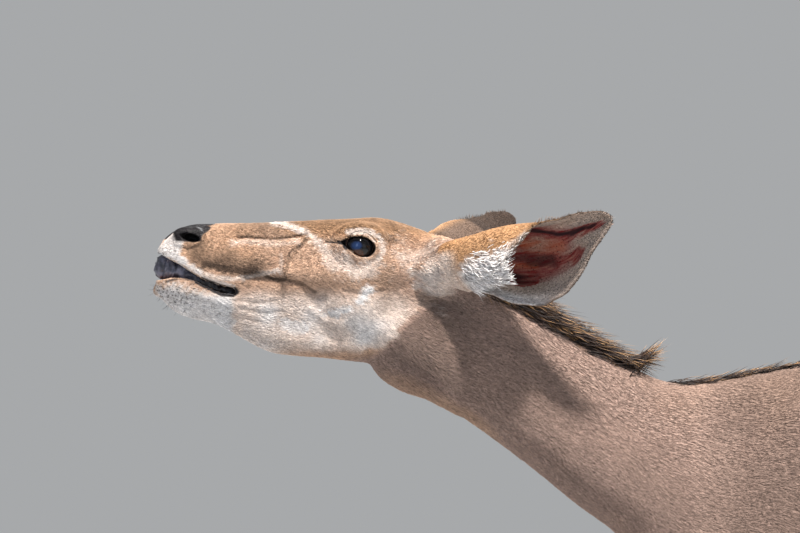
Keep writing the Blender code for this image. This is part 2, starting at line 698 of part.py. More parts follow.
# ---- hooves --------------------------------------------------------------------------------------------------------
def add_hoof(name, x, y, away):
    """One toe of a foot: flat underneath, pointed ahead, and cut off level under the pastern."""
    rows = ((0.000, 0.037, 0.0120, 0.000), (0.003, 0.0375, 0.0128, 0.000), (0.028, 0.0315, 0.0122, 0.006),
            (0.060, 0.0230, 0.0105, 0.016))
    sides = 10
    verts, faces = [], []
    for z, half, wide, back in rows:
        for k in range(sides):
            turn = 2 * pi * k / sides
            ahead, out = cos(turn), sin(turn)
            point = 1 - 0.45 * max(ahead, 0.0)
            spread = 0.0136 + 0.002 * max(ahead, 0.0)
            verts.append((x + back - half * ahead, y + away * (spread + wide * out * point), z + FLOOR))
    for i in range(len(rows) - 1):
        for k in range(sides):
            a, b = i * sides + k, i * sides + (k + 1) % sides
            faces.append((a, b, b + sides, a + sides))
    faces.append(tuple(range(sides))[::-1])
    faces.append(tuple(len(verts) - sides + k for k in range(sides)))
    hoof = mesh_object(name, verts, faces)
    face_out(hoof)
    under = block("under", (x - 0.2, y - 0.1, FLOOR - 0.1), (x + 0.2, y + 0.1, FLOOR + HOOF_TOP - GAP))
    boolean(hoof, under, "INTERSECT")
    drop(under)
    return hoof


def add_dewclaws(leg, x, y):
    """The two small claws behind the fetlock."""
    for away in (-1, 1):
        claw = ball("claw", at(x, y + away * 0.0135, FLOOR + 0.106), (0.0115, 0.0085, 0.0170), level=1, turn=0.5)
        boolean(leg, claw, "UNION")
        drop(claw)


# ---- locks ---------------------------------------------------------------------------------------------------------
def lock(root, along, up, length, wide, thick, bend, lift=0.0):
    """A flat, tapered lock of four sides that bends towards the lie of the coat."""
    root, along, up = Vector(root), Vector(along).normalized(), Vector(up).normalized()
    verts, faces = [], []
    stages = ((-0.22, 0.75, 1.0), (0.30, 1.0, 1.0), (0.72, 0.62, 0.6))
    def place(t):
        return root + along * (length * t) + up * (lift * t + bend * t * t) * length
    for t, w, h in stages:
        here, step = place(t), (place(t + 0.05) - place(t - 0.05)).normalized()
        side = step.cross(up).normalized()
        top = side.cross(step).normalized()
        for a, b in ((1, 0), (0, 1), (-1, 0), (0, -1)):
            verts.append(here + side * (a * wide * w / 2) + top * (b * thick * h / 2))
    verts.append(place(1.0))
    for i in range(2):
        for k in range(4):
            a, b = i * 4 + k, i * 4 + (k + 1) % 4
            faces.append((a, b, b + 4))
            faces.append((a, b + 4, a + 4))
    faces += [(8 + k, 8 + (k + 1) % 4, 12) for k in range(4)]
    faces.append((3, 2, 1, 0))
    obj = mesh_object("lock", verts, faces)
    face_out(obj)
    return obj


def fuse(node, pieces):
    """Joins pieces to a node in one Boolean union on their collection, and keeps its largest closed surface."""
    group = bpy.data.collections.new(node.name + "_locks")
    bpy.context.scene.collection.children.link(group)
    for piece in pieces:
        bpy.context.scene.collection.objects.unlink(piece)
        group.objects.link(piece)
    before = len(node.data.vertices)
    spare = node.data.copy()
    for solver in ("EXACT", "MANIFOLD"):
        union = node.modifiers.new("Union", "BOOLEAN")
        union.operation = "UNION"
        union.solver = solver
        union.operand_type = "COLLECTION"
        union.collection = group
        settle(node)
        if len(node.data.vertices) > before:
            break
        node.data = spare.copy()
    for piece in list(group.objects):
        drop(piece)
    bpy.data.collections.remove(group)
    return keep_largest(node)


def crest_locks(node, first, last, count, rows, shape):
    """Locks in rows along the top of a node, swept back, each a little different. The shape gives, along the row, the
    length, width, thickness, how far a lock stands up from the skin, and its bend."""
    made = []
    for i in range(count):
        for row in range(rows):
            u = min((i + 0.5 * (row % 2)) / (count - 1), 1.0)
            off = row - (rows - 1) / 2
            x = WITHERS.x + first + (last - first) * u + random.uniform(-1, 1) * 0.002
            y = off * 0.013 + random.uniform(-1, 1) * 0.002
            hit, place, normal, _ = node.ray_cast((x, y, 2.0), (0, 0, -1))
            if not hit or normal.z < 0.5 or normal.x < -0.4:
                continue
            length, wide, thick, lift, bend = shape(u)
            length *= random.uniform(0.88, 1.12) * (1 - 0.10 * abs(off))
            up = Vector((normal.x, 0, normal.z)).normalized()
            back = Vector((up.z, 0, -up.x))
            lift += random.uniform(-0.05, 0.05)
            along = back * cos(lift) + up * sin(lift) + Vector((0, off * 0.08 + random.uniform(-1, 1) * 0.05, 0))
            lean = up * cos(lift) - back * sin(lift) + Vector((0, off * 0.35, 0))
            made.append(lock(place - normal * 0.0045, along, lean, length, wide, thick, bend))
    return made


def clear_of(locks, others):
    """Leaves out the locks that would reach into another node."""
    def tree(obj, by=0.0):
        shape = grown(obj, by)
        found = BVHTree.FromPolygons([v.co for v in shape.data.vertices], [p.vertices for p in shape.data.polygons])
        drop(shape)
        return found
    trees = [tree(other, GAP * 1.5) for other in others]
    kept = []
    for piece in locks:
        own = tree(piece)
        if any(own.overlap(found) for found in trees):
            drop(piece)
        else:
            kept.append(piece)
    return kept


def mane_shape(u):
    """Long and lying on the neck, then shorter and more upright."""
    upright = exp(-(((u - 1.0) / 0.13) ** 2))
    return 0.105 - 0.035 * u - 0.024 * upright, 0.0190, 0.0050, 0.46 + 0.95 * upright, -0.10 + 0.06 * upright


def spine_shape(u):
    return 0.060 - 0.020 * u, 0.0160, 0.0040, 0.44 - 0.16 * u + 0.35 * exp(-((u / 0.10) ** 2)), -0.16


def add_tail(torso):
    rows = [(0.815, 0, 1.075, 0.022, 0.024), (0.868, 0, 1.060, 0.021, 0.020), (0.905, 0, 1.022, 0.018, 0.016),
            (0.918, 0, 0.960, 0.016, 0.0125), (0.921, 0, 0.880, 0.0145, 0.0110), (0.919, 0, 0.800, 0.0125, 0.0095),
            (0.915, 0, 0.735, 0.0090, 0.0080)]
    tail = limb("tail", rows, sides=12, steps=2)
    locks = []
    for i in range(8):
        u = i / 7
        x, _, z = at(0.919 - 0.006 * u, 0, 0.985 - 0.245 * u)
        for side in (-1, 1):
            wide = 0.018 - 0.007 * u
            along = (0.03, side * (0.30 - 0.16 * u) + random.uniform(-0.05, 0.05), -1.0)
            locks.append(lock((x, side * (wide - 0.009), z), along, (1, 0, 0.03), 0.105 * random.uniform(0.9, 1.1),
                              0.0150, 0.0060, -0.02))
        if i % 2 == 0:
            along = (0.10, random.uniform(-0.05, 0.05), -1.0)
            locks.append(lock((x + 0.004, 0, z - 0.01), along, (1, 0, 0.1), 0.110, 0.0150, 0.0060, -0.12))
    for spread in (-0.10, 0.10):
        x, _, z = at(0.915, 0, 0.748)
        locks.append(lock((x, spread * 0.04, z), (0, spread, -1), (1, 0, 0), 0.120, 0.0150, 0.0060, 0.0))
    fuse(tail, locks)
    return cleared(tail, torso)


# ---- looks ---------------------------------------------------------------------------------------------------------
COAT = (0.40, 0.28, 0.19), 0.90
LOOKS = {
    "head": ((0.52, 0.36, 0.24), 0.85),
    "neck": ((0.38, 0.27, 0.19), 0.90),
    "ear": ((0.55, 0.37, 0.25), 0.85),
    "eye": ((0.02, 0.012, 0.01), 0.06),
    "tongue": ((0.16, 0.13, 0.16), 0.35),
    "hoof": ((0.03, 0.028, 0.026), 0.45),
    "tail": ((0.45, 0.34, 0.25), 0.90),
}


def paint(obj):
    """A material of its own for each object, by the kind of part it is."""
    colour, roughness = LOOKS.get(obj.name.split("_")[0], COAT)
    material = bpy.data.materials.new(obj.name)
    material.use_nodes = True
    shader = material.node_tree.nodes["Principled BSDF"]
    shader.inputs["Base Color"].default_value = (*colour, 1.0)
    shader.inputs["Roughness"].default_value = roughness
    shader.inputs["Metallic"].default_value = 0.0
    obj.data.materials.clear()
    obj.data.materials.append(material)


def main():
    for obj in list(bpy.data.objects):
        bpy.data.objects.remove(obj)
    pieces = torso_masses() + neck_masses() + head_masses()
    for name, side in SIDES:
        pieces += foreleg_masses(side, STEP["fore", name]) + hindleg_masses(side, STEP["hind", name])
    body = blended("torso", pieces, BODY_VOXEL, 110)
    head_body = blended("head_body", head_masses() + neck_masses(), HEAD_VOXEL, 24)
    sculpt_head(head_body)
    wrap_neck(body, head_body)
    thinned(body, 4330)
    thinned(head_body, 3710)
    head = part_off(head_body, "head", head_block)
    drop(head_body)
    drop(part_off(body, "spare", head_block))
    neck = part_off(body, "neck", neck_block)
    finish_face(head)
    add_tongue()
    ears = [add_ear(f"ear_{name}", on_head(*base), axis, facing, (head, neck))
            for name, (base, axis, facing) in EAR_LIE.items()]
    for name, side in SIDES:
        for pair, x0, x1, inner, joint in (("fore", -0.34, 0.04, 0.035, 0.405), ("hind", 0.60, 1.10, 0.030, 0.500)):
            lower = part_off(body, f"{pair}leg_{name}_lower", leg_block(side, x0, x1, inner, joint))
            below = block("below", (-2, -1, -1), (2, 1, FLOOR + HOOF_TOP))
            boolean(lower, below, "DIFFERENCE")
            drop(below)
            along, way, apart = FOOT[pair]
            add_dewclaws(lower, along + 0.061 + way * STEP[pair, name], side * apart)
            for toe, away in (("outer", side), ("inner", -side)):
                x, y, _ = at(along + way * STEP[pair, name], side * apart, 0)
                add_hoof(f"hoof_{pair}_{name}_{toe}", x, y, away)
        part_off(body, f"foreleg_{name}_upper", leg_block(side, -0.34, 0.005, 0.050, 0.690))
        part_off(body, f"hindleg_{name}_upper", leg_block(side, 0.585, 1.10, 0.030, 0.735, rise=-0.28))
    add_tail(body)
    fuse(neck, clear_of(crest_locks(neck, -0.425, -0.266, 16, 2, mane_shape), (head, body, *ears)))
    fuse(body, clear_of(crest_locks(body, -0.242, 0.250, 15, 2, spine_shape), (neck,)))
    base = bpy.data.objects.new("kudu", None)
    base.location = TO_MIDDLE
    bpy.context.scene.collection.objects.link(base)
    for obj in bpy.data.objects:
        if obj.type == "MESH":
            obj.parent = base
            paint(obj)


main()
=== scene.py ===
"""Greater kudu cow, life size: her skin, coat and finish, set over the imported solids.

Metres, +Z up. She faces -X and her left side is -Y. One skin replaces the nodes of flesh. It is grown from
the same lofts as the solids, but finer, and lies inside them by the depth of the coat. Eyes, tongue and
hooves stay separate. The coat is solid mesh: short spikes that lie along the hide, and longer strands for
mane, crest, tail and ears.
"""
from math import copysign, cos, pi, sin

import bmesh
import bpy
import numpy as np
from mathutils import Matrix, Vector


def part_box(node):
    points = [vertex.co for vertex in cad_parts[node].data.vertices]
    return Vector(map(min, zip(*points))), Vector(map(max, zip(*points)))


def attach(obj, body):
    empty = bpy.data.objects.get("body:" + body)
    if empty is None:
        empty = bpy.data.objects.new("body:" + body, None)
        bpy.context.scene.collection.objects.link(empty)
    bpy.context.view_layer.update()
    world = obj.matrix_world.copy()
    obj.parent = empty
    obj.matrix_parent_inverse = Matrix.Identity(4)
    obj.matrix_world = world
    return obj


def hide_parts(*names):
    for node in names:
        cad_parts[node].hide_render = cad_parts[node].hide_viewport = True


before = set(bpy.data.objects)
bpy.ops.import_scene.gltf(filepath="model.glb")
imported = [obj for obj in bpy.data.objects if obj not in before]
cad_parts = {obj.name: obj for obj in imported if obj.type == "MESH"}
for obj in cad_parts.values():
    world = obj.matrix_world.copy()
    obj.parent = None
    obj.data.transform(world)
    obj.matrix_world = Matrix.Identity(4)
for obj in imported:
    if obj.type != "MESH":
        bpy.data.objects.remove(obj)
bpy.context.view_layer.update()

draw = np.random.default_rng(7)


# ---- places, taken from the frame ------------------------------------------------------------------------
def middle_of(node):
    low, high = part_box(node)
    return (low + high) / 2


SIDES = (("left", -1), ("right", 1))
EYE_AT = {side: middle_of(f"eye_{name}") for name, side in SIDES}
EYE = (EYE_AT[-1] + EYE_AT[1]) / 2       # between the eyes; its y is the middle plane
EYE_SIDE = EYE_AT[1].y - EYE.y
EYE_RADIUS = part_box("eye_left")[1].z - EYE.z
WITHERS = EYE - Vector((-0.594, 0.0, 0.118))
HOOF_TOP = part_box("hoof_fore_left_outer")[1].z
STEP = {("fore", "left"): 0.045, ("fore", "right"): -0.035,
        ("hind", "left"): 0.045, ("hind", "right"): -0.050}
FOOT = {"fore": (-0.127, -1, 0.097), "hind": (0.753, 1, 0.095)}  # along the body, way of a step, to the side

BODY_VOXEL, BODY_ROUNDS = 0.0055, 110    # how fine the body's skin is, and how often it is smoothed
FORM_VOXEL = 0.0020                      # the head's masses, before they are sculpted
FORM_ROUNDS = round(24 * (0.0035 / FORM_VOXEL) ** 2)     # as far as 24 rounds smooth the solids at 3.5 mm
HEAD_VOXEL = 0.0013                      # the finished head, with its ears
NECK_CUT = -0.400                        # where head and body are joined, from the withers


def at(x, y, z):
    """A place measured from the withers along the body, and from the floor in height."""
    return (WITHERS.x + x, WITHERS.y + y, z)


def on_head(forward, side, height):
    """A place on the head: forward of the eye, to one side of the middle, and above the eye."""
    return (EYE.x - forward, EYE.y + side, EYE.z + height)


def from_withers(places):
    """Along the body from the withers, sideways from the middle plane, and up from the floor."""
    return places[:, 0] - WITHERS.x, places[:, 1] - EYE.y, places[:, 2]


def from_eye(places):
    """Forward of the eye, sideways from the middle plane, and up from the eye."""
    return EYE.x - places[:, 0], places[:, 1] - EYE.y, places[:, 2] - EYE.z


# ---- camera, light and floor -----------------------------------------------------------------------------
VIEW_MIDDLE = Vector((-0.590, EYE.y, 1.3142))            # what the middle of the frame shows
VIEW_WIDTH = 0.96
CAMERA_AWAY = 12.0
SENSOR = 36.0


def aimed(obj, place, target):
    obj.location = place
    obj.rotation_euler = (Vector(target) - Vector(place)).to_track_quat("-Z", "Y").to_euler()
    bpy.context.scene.collection.objects.link(obj)
    return obj


def add_camera():
    lens = bpy.data.cameras.new("camera")
    lens.sensor_width = SENSOR
    lens.lens = SENSOR * CAMERA_AWAY / VIEW_WIDTH
    lens.clip_end = 200
    place = VIEW_MIDDLE - Vector((0, CAMERA_AWAY, 0))
    bpy.context.scene.camera = aimed(bpy.data.objects.new("camera", lens), place, VIEW_MIDDLE)


def add_light(name, place, target, size, power, colour=(1, 1, 1)):
    lamp = bpy.data.lights.new(name, "AREA")
    lamp.shape = "DISK"
    lamp.size = size
    lamp.energy = power
    lamp.color = colour
    aimed(bpy.data.objects.new(name, lamp), place, target)


def add_studio():
    x, y, z = VIEW_MIDDLE
    add_light("key", (x + 0.38, y - 1.90, z + 3.72), (x + 0.1, y, z), 0.40, 590, (1.0, 0.965, 0.92))
    add_light("fill", (x - 0.64, y - 1.30, z + 0.32), (x - 0.02, y, z), 0.60, 3.4, (0.52, 0.70, 1.0))
    add_light("side", (x + 2.6, y - 3.2, z + 0.4), (x + 0.3, y, z - 0.2), 2.6, 14, (0.90, 0.95, 1.0))
    add_light("rim", (x + 1.0, y + 3.0, z + 2.4), (x + 0.3, y, z), 1.6, 90)
    add_light("back", (x + 3.6, y + 1.6, z + 1.8), (x + 1.0, y, z - 0.3), 2.4, 90)
    world = bpy.data.worlds.new("studio")
    bpy.context.scene.world = world
    world.use_nodes = True
    sky = world.node_tree.nodes["Background"]
    sky.inputs["Color"].default_value = (0.86, 0.88, 0.90, 1)
    sky.inputs["Strength"].default_value = 0.45
    bpy.context.scene.view_settings.view_transform = "Standard"
    bpy.ops.mesh.primitive_circle_add(vertices=96, radius=30, fill_type="NGON")
    floor = bpy.context.object
    floor.name = "floor"
    finish = Finish("pale floor", Roughness=0.85)
    cloud = finish.noise(scale=1.3, detail=3)
    finish.feed("Base Color", finish.mix(cloud, (0.52, 0.53, 0.54), (0.57, 0.58, 0.58)))
    floor.data.materials.append(finish.material)


# ---- materials -------------------------------------------------------------------------------------------
def reckoned(operation, flipped=False):
    """An operator of a wire, which adds a Math node."""
    def method(self, other):
        pair = (other, self) if flipped else (self, other)
        return self.finish.node("ShaderNodeMath", {"operation": operation}, dict(enumerate(pair)))
    return method


class Wire:
    """A node's socket that can be reckoned with: each sum adds a Math node."""

    def __init__(self, finish, socket):
        self.finish, self.socket = finish, socket

    __add__, __radd__ = reckoned("ADD"), reckoned("ADD", flipped=True)
    __sub__, __rsub__ = reckoned("SUBTRACT"), reckoned("SUBTRACT", flipped=True)
    __mul__, __rmul__ = reckoned("MULTIPLY"), reckoned("MULTIPLY", flipped=True)
    __truediv__ = reckoned("DIVIDE")
    __pow__ = reckoned("POWER")
    smaller = reckoned("MINIMUM")

    def ramp(self, low, high, start=0.0, end=1.0):
        """Smoothly from start to end, as this goes from low to high."""
        settings = {"interpolation_type": "SMOOTHSTEP"}
        return self.finish.node("ShaderNodeMapRange", settings, {0: self, 1: low, 2: high, 3: start, 4: end})


class Finish:
    """A material built from expressions. What is the same all over is set on the shader's own sockets."""

    def __init__(self, name, **fixed):
        self.material = bpy.data.materials.new(name)
        self.material.use_nodes = True
        self.tree = self.material.node_tree
        self.shader = self.tree.nodes["Principled BSDF"]
        for socket, value in fixed.items():
            self.shader.inputs[socket.replace("_", " ")].default_value = value

    def node(self, kind, settings=None, inputs=None, output=0):
        """Adds a node: its settings first, a ramp's stops among them, then the values or links of its
        sockets."""
        made = self.tree.nodes.new(kind)
        for name, value in (settings or {}).items():
            if name == "stops":
                ramp = made.color_ramp.elements
                while len(ramp) < len(value):
                    ramp.new(0.5)
                for stop, (place, colour) in zip(ramp, value):
                    stop.position, stop.color = place, (*colour, 1.0)
            else:
                setattr(made, name, value)
        for name, value in (inputs or {}).items():
            self.put(made.inputs[name], value)
        return Wire(self, made.outputs[output])

    def put(self, socket, value):
        if isinstance(value, Wire):
            self.tree.links.new(value.socket, socket)
        elif isinstance(value, (tuple, list)) and len(value) == 3 and socket.type == "RGBA":
            socket.default_value = (*value, 1.0)
        else:
            socket.default_value = value

    def feed(self, socket, value):
        self.put(self.shader.inputs[socket], value)

    def mix(self, factor, a, b):
        """Two colours, mixed."""
        return self.node("ShaderNodeMix", {"data_type": "RGBA"}, {0: factor, 6: a, 7: b}, output=2)

    def vector(self, operation, inputs):
        return self.node("ShaderNodeVectorMath", {"operation": operation}, inputs)

    def place(self):
        return self.node("ShaderNodeTexCoord", output=3)

    def joined(self, *numbers):
        return self.node("ShaderNodeCombineXYZ", None, dict(enumerate(numbers)))

    def split(self, vector):
        return [self.node("ShaderNodeSeparateXYZ", None, {0: vector}, output=k) for k in range(3)]

    def parts(self, name):
        """The three numbers of a vector that the mesh carries."""
        return self.split(self.node("ShaderNodeAttribute", {"attribute_name": name}, output=1))

    def stops(self, factor, *stops):
        """A colour from a ramp."""
        return self.node("ShaderNodeValToRGB", {"stops": stops}, {0: factor})

    def noise(self, scale, detail=2.0, rough=0.5, where=None, stretch=None):
        where = where or self.place()
        if stretch:
            where = self.vector("MULTIPLY", {0: where, 1: stretch})
        inputs = {"Vector": where, "Scale": scale, "Detail": detail, "Roughness": rough}
        return self.node("ShaderNodeTexNoise", None, inputs)

    def cells(self, scale, feature="F1"):
        inputs = {"Vector": self.place(), "Scale": scale}
        return self.node("ShaderNodeTexVoronoi", {"feature": feature}, inputs)

    def bump(self, height, strength, distance):
        inputs = {"Height": height, "Strength": strength, "Distance": distance}
        self.feed("Normal", self.node("ShaderNodeBump", None, inputs))


GREY_BROWN = (0.290, 0.205, 0.168)
NECK_BROWN = (0.450, 0.312, 0.256)
TAN = (0.540, 0.350, 0.240)
ORANGE = (0.530, 0.280, 0.120)
CREAM = (0.760, 0.630, 0.550)
WHITE = (0.780, 0.750, 0.740)
DARK = (0.037, 0.023, 0.017)
BLACK = (0.006, 0.005, 0.006)
INNER_RED = (0.110, 0.004, 0.005)
INNER_PINK = (0.200, 0.060, 0.040)
# Painted light: the orange of light shining through the ear.
INNER_PAINTED_GLOW = (0.210, 0.034, 0.010)
INNER_BLACK = (0.014, 0.004, 0.005)


def hide_colour(finish, along, vary):
    """The coat's colour, the same on skin and hair: grey-brown to tan and orange by warmth, then the marks.
    Hair is darker at its root, as its own colour and as painted shade among the tufts, and some tufts are
    dark all over. Its flecks are drawn out along the lie."""
    white, dark, warm = finish.parts("marks")
    x, y, z = finish.split(finish.place())
    grained = finish.joined((x * 0.93 - z * 0.37) * 0.28, y, x * 0.37 + z * 0.93)
    cloud = finish.noise(scale=11, detail=3) - 0.5
    base = finish.stops(warm + cloud * 0.14, (0.0, GREY_BROWN), (0.20, NECK_BROWN), (0.5, TAN), (1.0, ORANGE))
    base = finish.mix(white.ramp(0.0, 0.60), base, CREAM)
    base = finish.mix(white.ramp(0.55, 1.0), base, WHITE)
    base = finish.mix(dark, base, DARK)
    fleck = finish.noise(scale=640, detail=3, rough=0.7, where=grained).ramp(0.50, 0.64)
    pale = finish.noise(scale=420, detail=2, where=grained).ramp(0.50, 0.68) * 0.30
    mottle = finish.noise(scale=90, detail=3, where=grained) - 0.5
    tone = (0.66 + along * 0.24) * (1.0 + cloud * 0.22) * (1.0 + mottle * 0.22) * vary
    tone = tone * (1.0 - fleck * (0.50 - white * 0.22)) * (1.0 + pale)
    return finish.vector("SCALE", {0: base, 3: tone})


def skin_finish():
    finish = Finish("hide", Roughness=0.8, Specular_IOR_Level=0.08)
    bare, pink, speck = finish.parts("hide")
    along_ear, round_ear, painted_glow = finish.parts("ear")
    streak = finish.noise(scale=1.0, detail=3, where=finish.joined(along_ear * 45.0, round_ear * 420.0))
    flesh = finish.mix(streak.ramp(0.52, 0.74), INNER_RED, INNER_PINK)
    # Painted light: orange where light would shine through the ear's cup.
    flesh = finish.mix(painted_glow, flesh, INNER_PAINTED_GLOW)
    grain = finish.noise(scale=620, detail=2, rough=0.6)
    fur = hide_colour(finish, 0.25, grain.ramp(0.36, 0.60, 0.66, 1.10))
    pebbles = finish.cells(620, feature="SMOOTH_F1")
    fine = finish.noise(scale=900, detail=2)
    dots = finish.cells(260).ramp(0.16, 0.26, 1.0, 0.0) * speck
    colour = finish.mix(pink.ramp(0.0, 0.5) * streak.ramp(0.30, 0.55, 1.0, 0.80), fur, flesh)
    colour = finish.mix(pink.ramp(0.5, 1.0) * (0.55 + streak * 0.9).smaller(1.0), colour, INNER_BLACK)
    colour = finish.mix(dots, colour, BLACK)
    colour = finish.mix(bare, colour, finish.mix(fine.ramp(0.40, 0.70), BLACK, (0.022, 0.020, 0.021)))
    finish.feed("Base Color", colour)
    finish.feed("Roughness", 0.82 - bare * (0.34 + pebbles * 0.14) - pink * 0.10)
    hair = finish.noise(scale=330, detail=3, stretch=(0.30, 1.0, 1.0))
    height = hair * (1.0 - bare) + pebbles * bare * 1.2
    finish.bump(height, 0.6, 0.0012)
    return finish.material


def hair_finish():
    """Short coat: each tuft takes its marks from its root."""
    finish = Finish("coat", Roughness=0.72, Specular_IOR_Level=0.20)
    along, vary, _ = finish.parts("hair")
    dark_tuft = vary.ramp(0.72, 0.86)
    finish.feed("Base Color", hide_colour(finish, along, (0.92 + vary * 0.30) * (1.0 - dark_tuft * 0.42)))
    return finish.material


def strand_finish(name, root, tip, middle=None, rough=0.55, turn=0.55, late=0.0, light=0.58):
    """Long hair, from the colour of its root to that of its tip. The middle colour is at the turn."""
    finish = Finish(name, Roughness=rough, Specular_IOR_Level=0.3)
    along, vary, _ = finish.parts("hair")
    middle = middle or tuple((a + b) / 2 for a, b in zip(root, tip))
    colour = finish.stops(along - late + (vary - 0.5) * 0.5, (0.0, root), (turn, middle), (1.0, tip))
    streak = finish.noise(scale=260, detail=2, stretch=(0.2, 1, 1)) - 0.5
    tone = (light + vary * 0.36) * (1.0 + streak * 0.6)
    finish.feed("Base Color", finish.vector("SCALE", {0: colour, 3: tone}))
    return finish.material


# ---- forms -----------------------------------------------------------------------------------------------
def link(obj):
    bpy.context.scene.collection.objects.link(obj)
    return obj


def solid(name, bm):
    """The object of a mesh that is finished with."""
    mesh = bpy.data.meshes.new(name)
    bm.to_mesh(mesh)
    bm.free()
    return link(bpy.data.objects.new(name, mesh))


def curve(a, b, c, d, steps):
    """Steps of a Catmull-Rom curve from the second row up to the third."""
    return [
        [
            0.5 * (2 * q + (r - p) * t + (2 * p - 5 * q + 4 * r - s) * t * t + (3 * q - p - 3 * r + s) * t**3)
            for p, q, r, s in zip(a, b, c, d)
        ]
        for t in (k / steps for k in range(steps))
    ]


def spline(rows, steps, closed=False):
    """Rows of numbers smoothed by a curve, with this many steps between each two rows."""
    padded = [rows[-1], *rows, rows[0], rows[1]] if closed else [rows[0], *rows, rows[-1]]
    found = [row for k in range(len(padded) - 3) for row in curve(*padded[k : k + 4], steps)]
    return found if closed else [*found, list(rows[-1])]


def rounded_ends(rows):
    """The rows with two more at each end, which close it as a dome."""
    def dome(last, before):
        end = Vector(last[:3])
        ahead = (end - Vector(before[:3])).normalized()
        made = []
        for out, scale in ((0.38, 0.88), (0.62, 0.55)):
            place = end + ahead * (out * min(last[3], last[4]))
            made.append([*place, last[3] * scale, last[4] * scale, last[5]])
        return made
    return [*reversed(dome(rows[0], rows[1])), *rows, *dome(rows[-1], rows[-2])]


def mesh_object(name, verts, faces):
    mesh = bpy.data.meshes.new(name)
    mesh.from_pydata([tuple(v) for v in verts], [], faces)
    return link(bpy.data.objects.new(name, mesh))


def drop(obj):
    bpy.data.objects.remove(obj, do_unlink=True)


def face_out(obj):
    bm = bmesh.new()
    bm.from_mesh(obj.data)
    bmesh.ops.recalc_face_normals(bm, faces=bm.faces)
    if bm.calc_volume(signed=True) < 0:
        bmesh.ops.reverse_faces(bm, faces=bm.faces)
    bm.to_mesh(obj.data)
    bm.free()
    return obj


def circle(sides):
    """The cosine and sine of equal turns all round."""
    return [(cos(2 * pi * k / sides), sin(2 * pi * k / sides)) for k in range(sides)]


def ring_faces(rings, sides):
    """The faces of a loft with closed ends."""
    faces = []
    for i in range(rings - 1):
        for k in range(sides):
            a, b = i * sides + k, i * sides + (k + 1) % sides
            faces.append((a, b, b + sides, a + sides))
    faces.append(tuple(range(sides))[::-1])
    faces.append(tuple((rings - 1) * sides + k for k in range(sides)))
    return faces


def tube(name, rows, sides=16, steps=3, across=Vector((0, 1, 0))):
    """A closed loft with rounded ends. Each row is x, y, z, half width, half depth and egg, which widens the
    side that the loft's first ring has uppermost."""
    rows = [list(row) + [0.0] * (6 - len(row)) for row in rows]
    rows = rounded_ends(spline(rows, steps))
    centres = [Vector(row[:3]) for row in rows]
    verts = []
    above = Vector((0, 0, 1))
    for i, row in enumerate(rows):
        ahead = (centres[min(i + 1, len(rows) - 1)] - centres[max(i - 1, 0)]).normalized()
        side = (across - ahead * across.dot(ahead)).normalized()
        deep = ahead.cross(side)
        if deep.dot(above) < 0:
            deep = -deep
        above = deep
        width, depth, egg = row[3:6]
        for out, up in circle(sides):
            verts.append(centres[i] + side * (out * width * (1 + egg * up)) + deep * (up * depth))
    return face_out(mesh_object(name, verts, ring_faces(len(rows), sides)))


def ball(name, centre, radii, level=3, turn=0.0):
    """An ellipsoid, turned about the side axis."""
    bm = bmesh.new()
    bmesh.ops.create_icosphere(bm, subdivisions=level, radius=1.0)
    bm.transform(Matrix.Translation(centre) @ Matrix.Rotation(turn, 4, "Y") @ Matrix.Diagonal((*radii, 1)))
    return solid(name, bm)


def settle(obj):
    """Applies the object's modifiers, and leaves a plain mesh."""
    graph = bpy.context.evaluated_depsgraph_get()
    mesh = bpy.data.meshes.new_from_object(obj.evaluated_get(graph))
    obj.modifiers.clear()
    obj.data = mesh
    return obj


def join(name, pieces):
    """The pieces' meshes in one object, still overlapping."""
    bm = bmesh.new()
    for piece in pieces:
        bm.from_mesh(piece.data)
        drop(piece)
    return solid(name, bm)


def remeshed(obj, voxel):
    remesh = obj.modifiers.new("Remesh", "REMESH")
    remesh.mode = "VOXEL"
    remesh.voxel_size = voxel
    return settle(obj)


def weigh(obj, name, weights):
    """A vertex group with a weight for each vertex."""
    group = obj.vertex_groups.new(name=name)
    for level in np.unique(np.round(weights, 2)):
        chosen = np.flatnonzero(np.round(weights, 2) == level)
        group.add(chosen.tolist(), float(level), "REPLACE")
    return name


def smoothed(obj, rounds, weights):
    smooth = obj.modifiers.new("Smooth", "SMOOTH")
    smooth.factor = 0.5
    smooth.iterations = rounds
    smooth.vertex_group = weigh(obj, "soft", weights)
    settle(obj)
    obj.vertex_groups.clear()
    return obj


def cut(obj, cutters):
    """Takes the cutters, which don't overlap, out of an object."""
    other = join("cutter", cutters)
    modifier = obj.modifiers.new("cut", "BOOLEAN")
    modifier.operation = "DIFFERENCE"
    modifier.solver = "EXACT"
    modifier.object = other
    settle(obj)
    drop(other)


def vectors_of(rows, key):
    found = np.empty(len(rows) * 3, np.float32)
    rows.foreach_get(key, found)
    return found.reshape(-1, 3).astype(float)


def places_of(mesh):
    return vectors_of(mesh.vertices, "co")


def normals_of(mesh):
    return vectors_of(mesh.vertex_normals, "vector")


def carry(mesh, key, values):
    """Gives each vertex three numbers, which the finishes read."""
    layer = mesh.attributes.new(key, "FLOAT_VECTOR", "POINT")
    layer.data.foreach_set("vector", values.astype(np.float32).ravel())


def move_to(mesh, places):
    mesh.vertices.foreach_set("co", places.astype(np.float32).ravel())
    mesh.update()


def rise(low, high, value):
    """Smoothly from 0 to 1 as a value goes from low to high, or down where low is the larger."""
    t = np.clip((value - low) / (high - low), 0.0, 1.0)
    return t * t * (3 - 2 * t)


def unit(vectors):
    return vectors / np.maximum(np.linalg.norm(vectors, axis=1, keepdims=True), 1e-12)


def square_to(vectors, others):
    """The vectors without what runs along the others, at length 1."""
    return unit(vectors - others * (vectors * others).sum(1)[:, None])


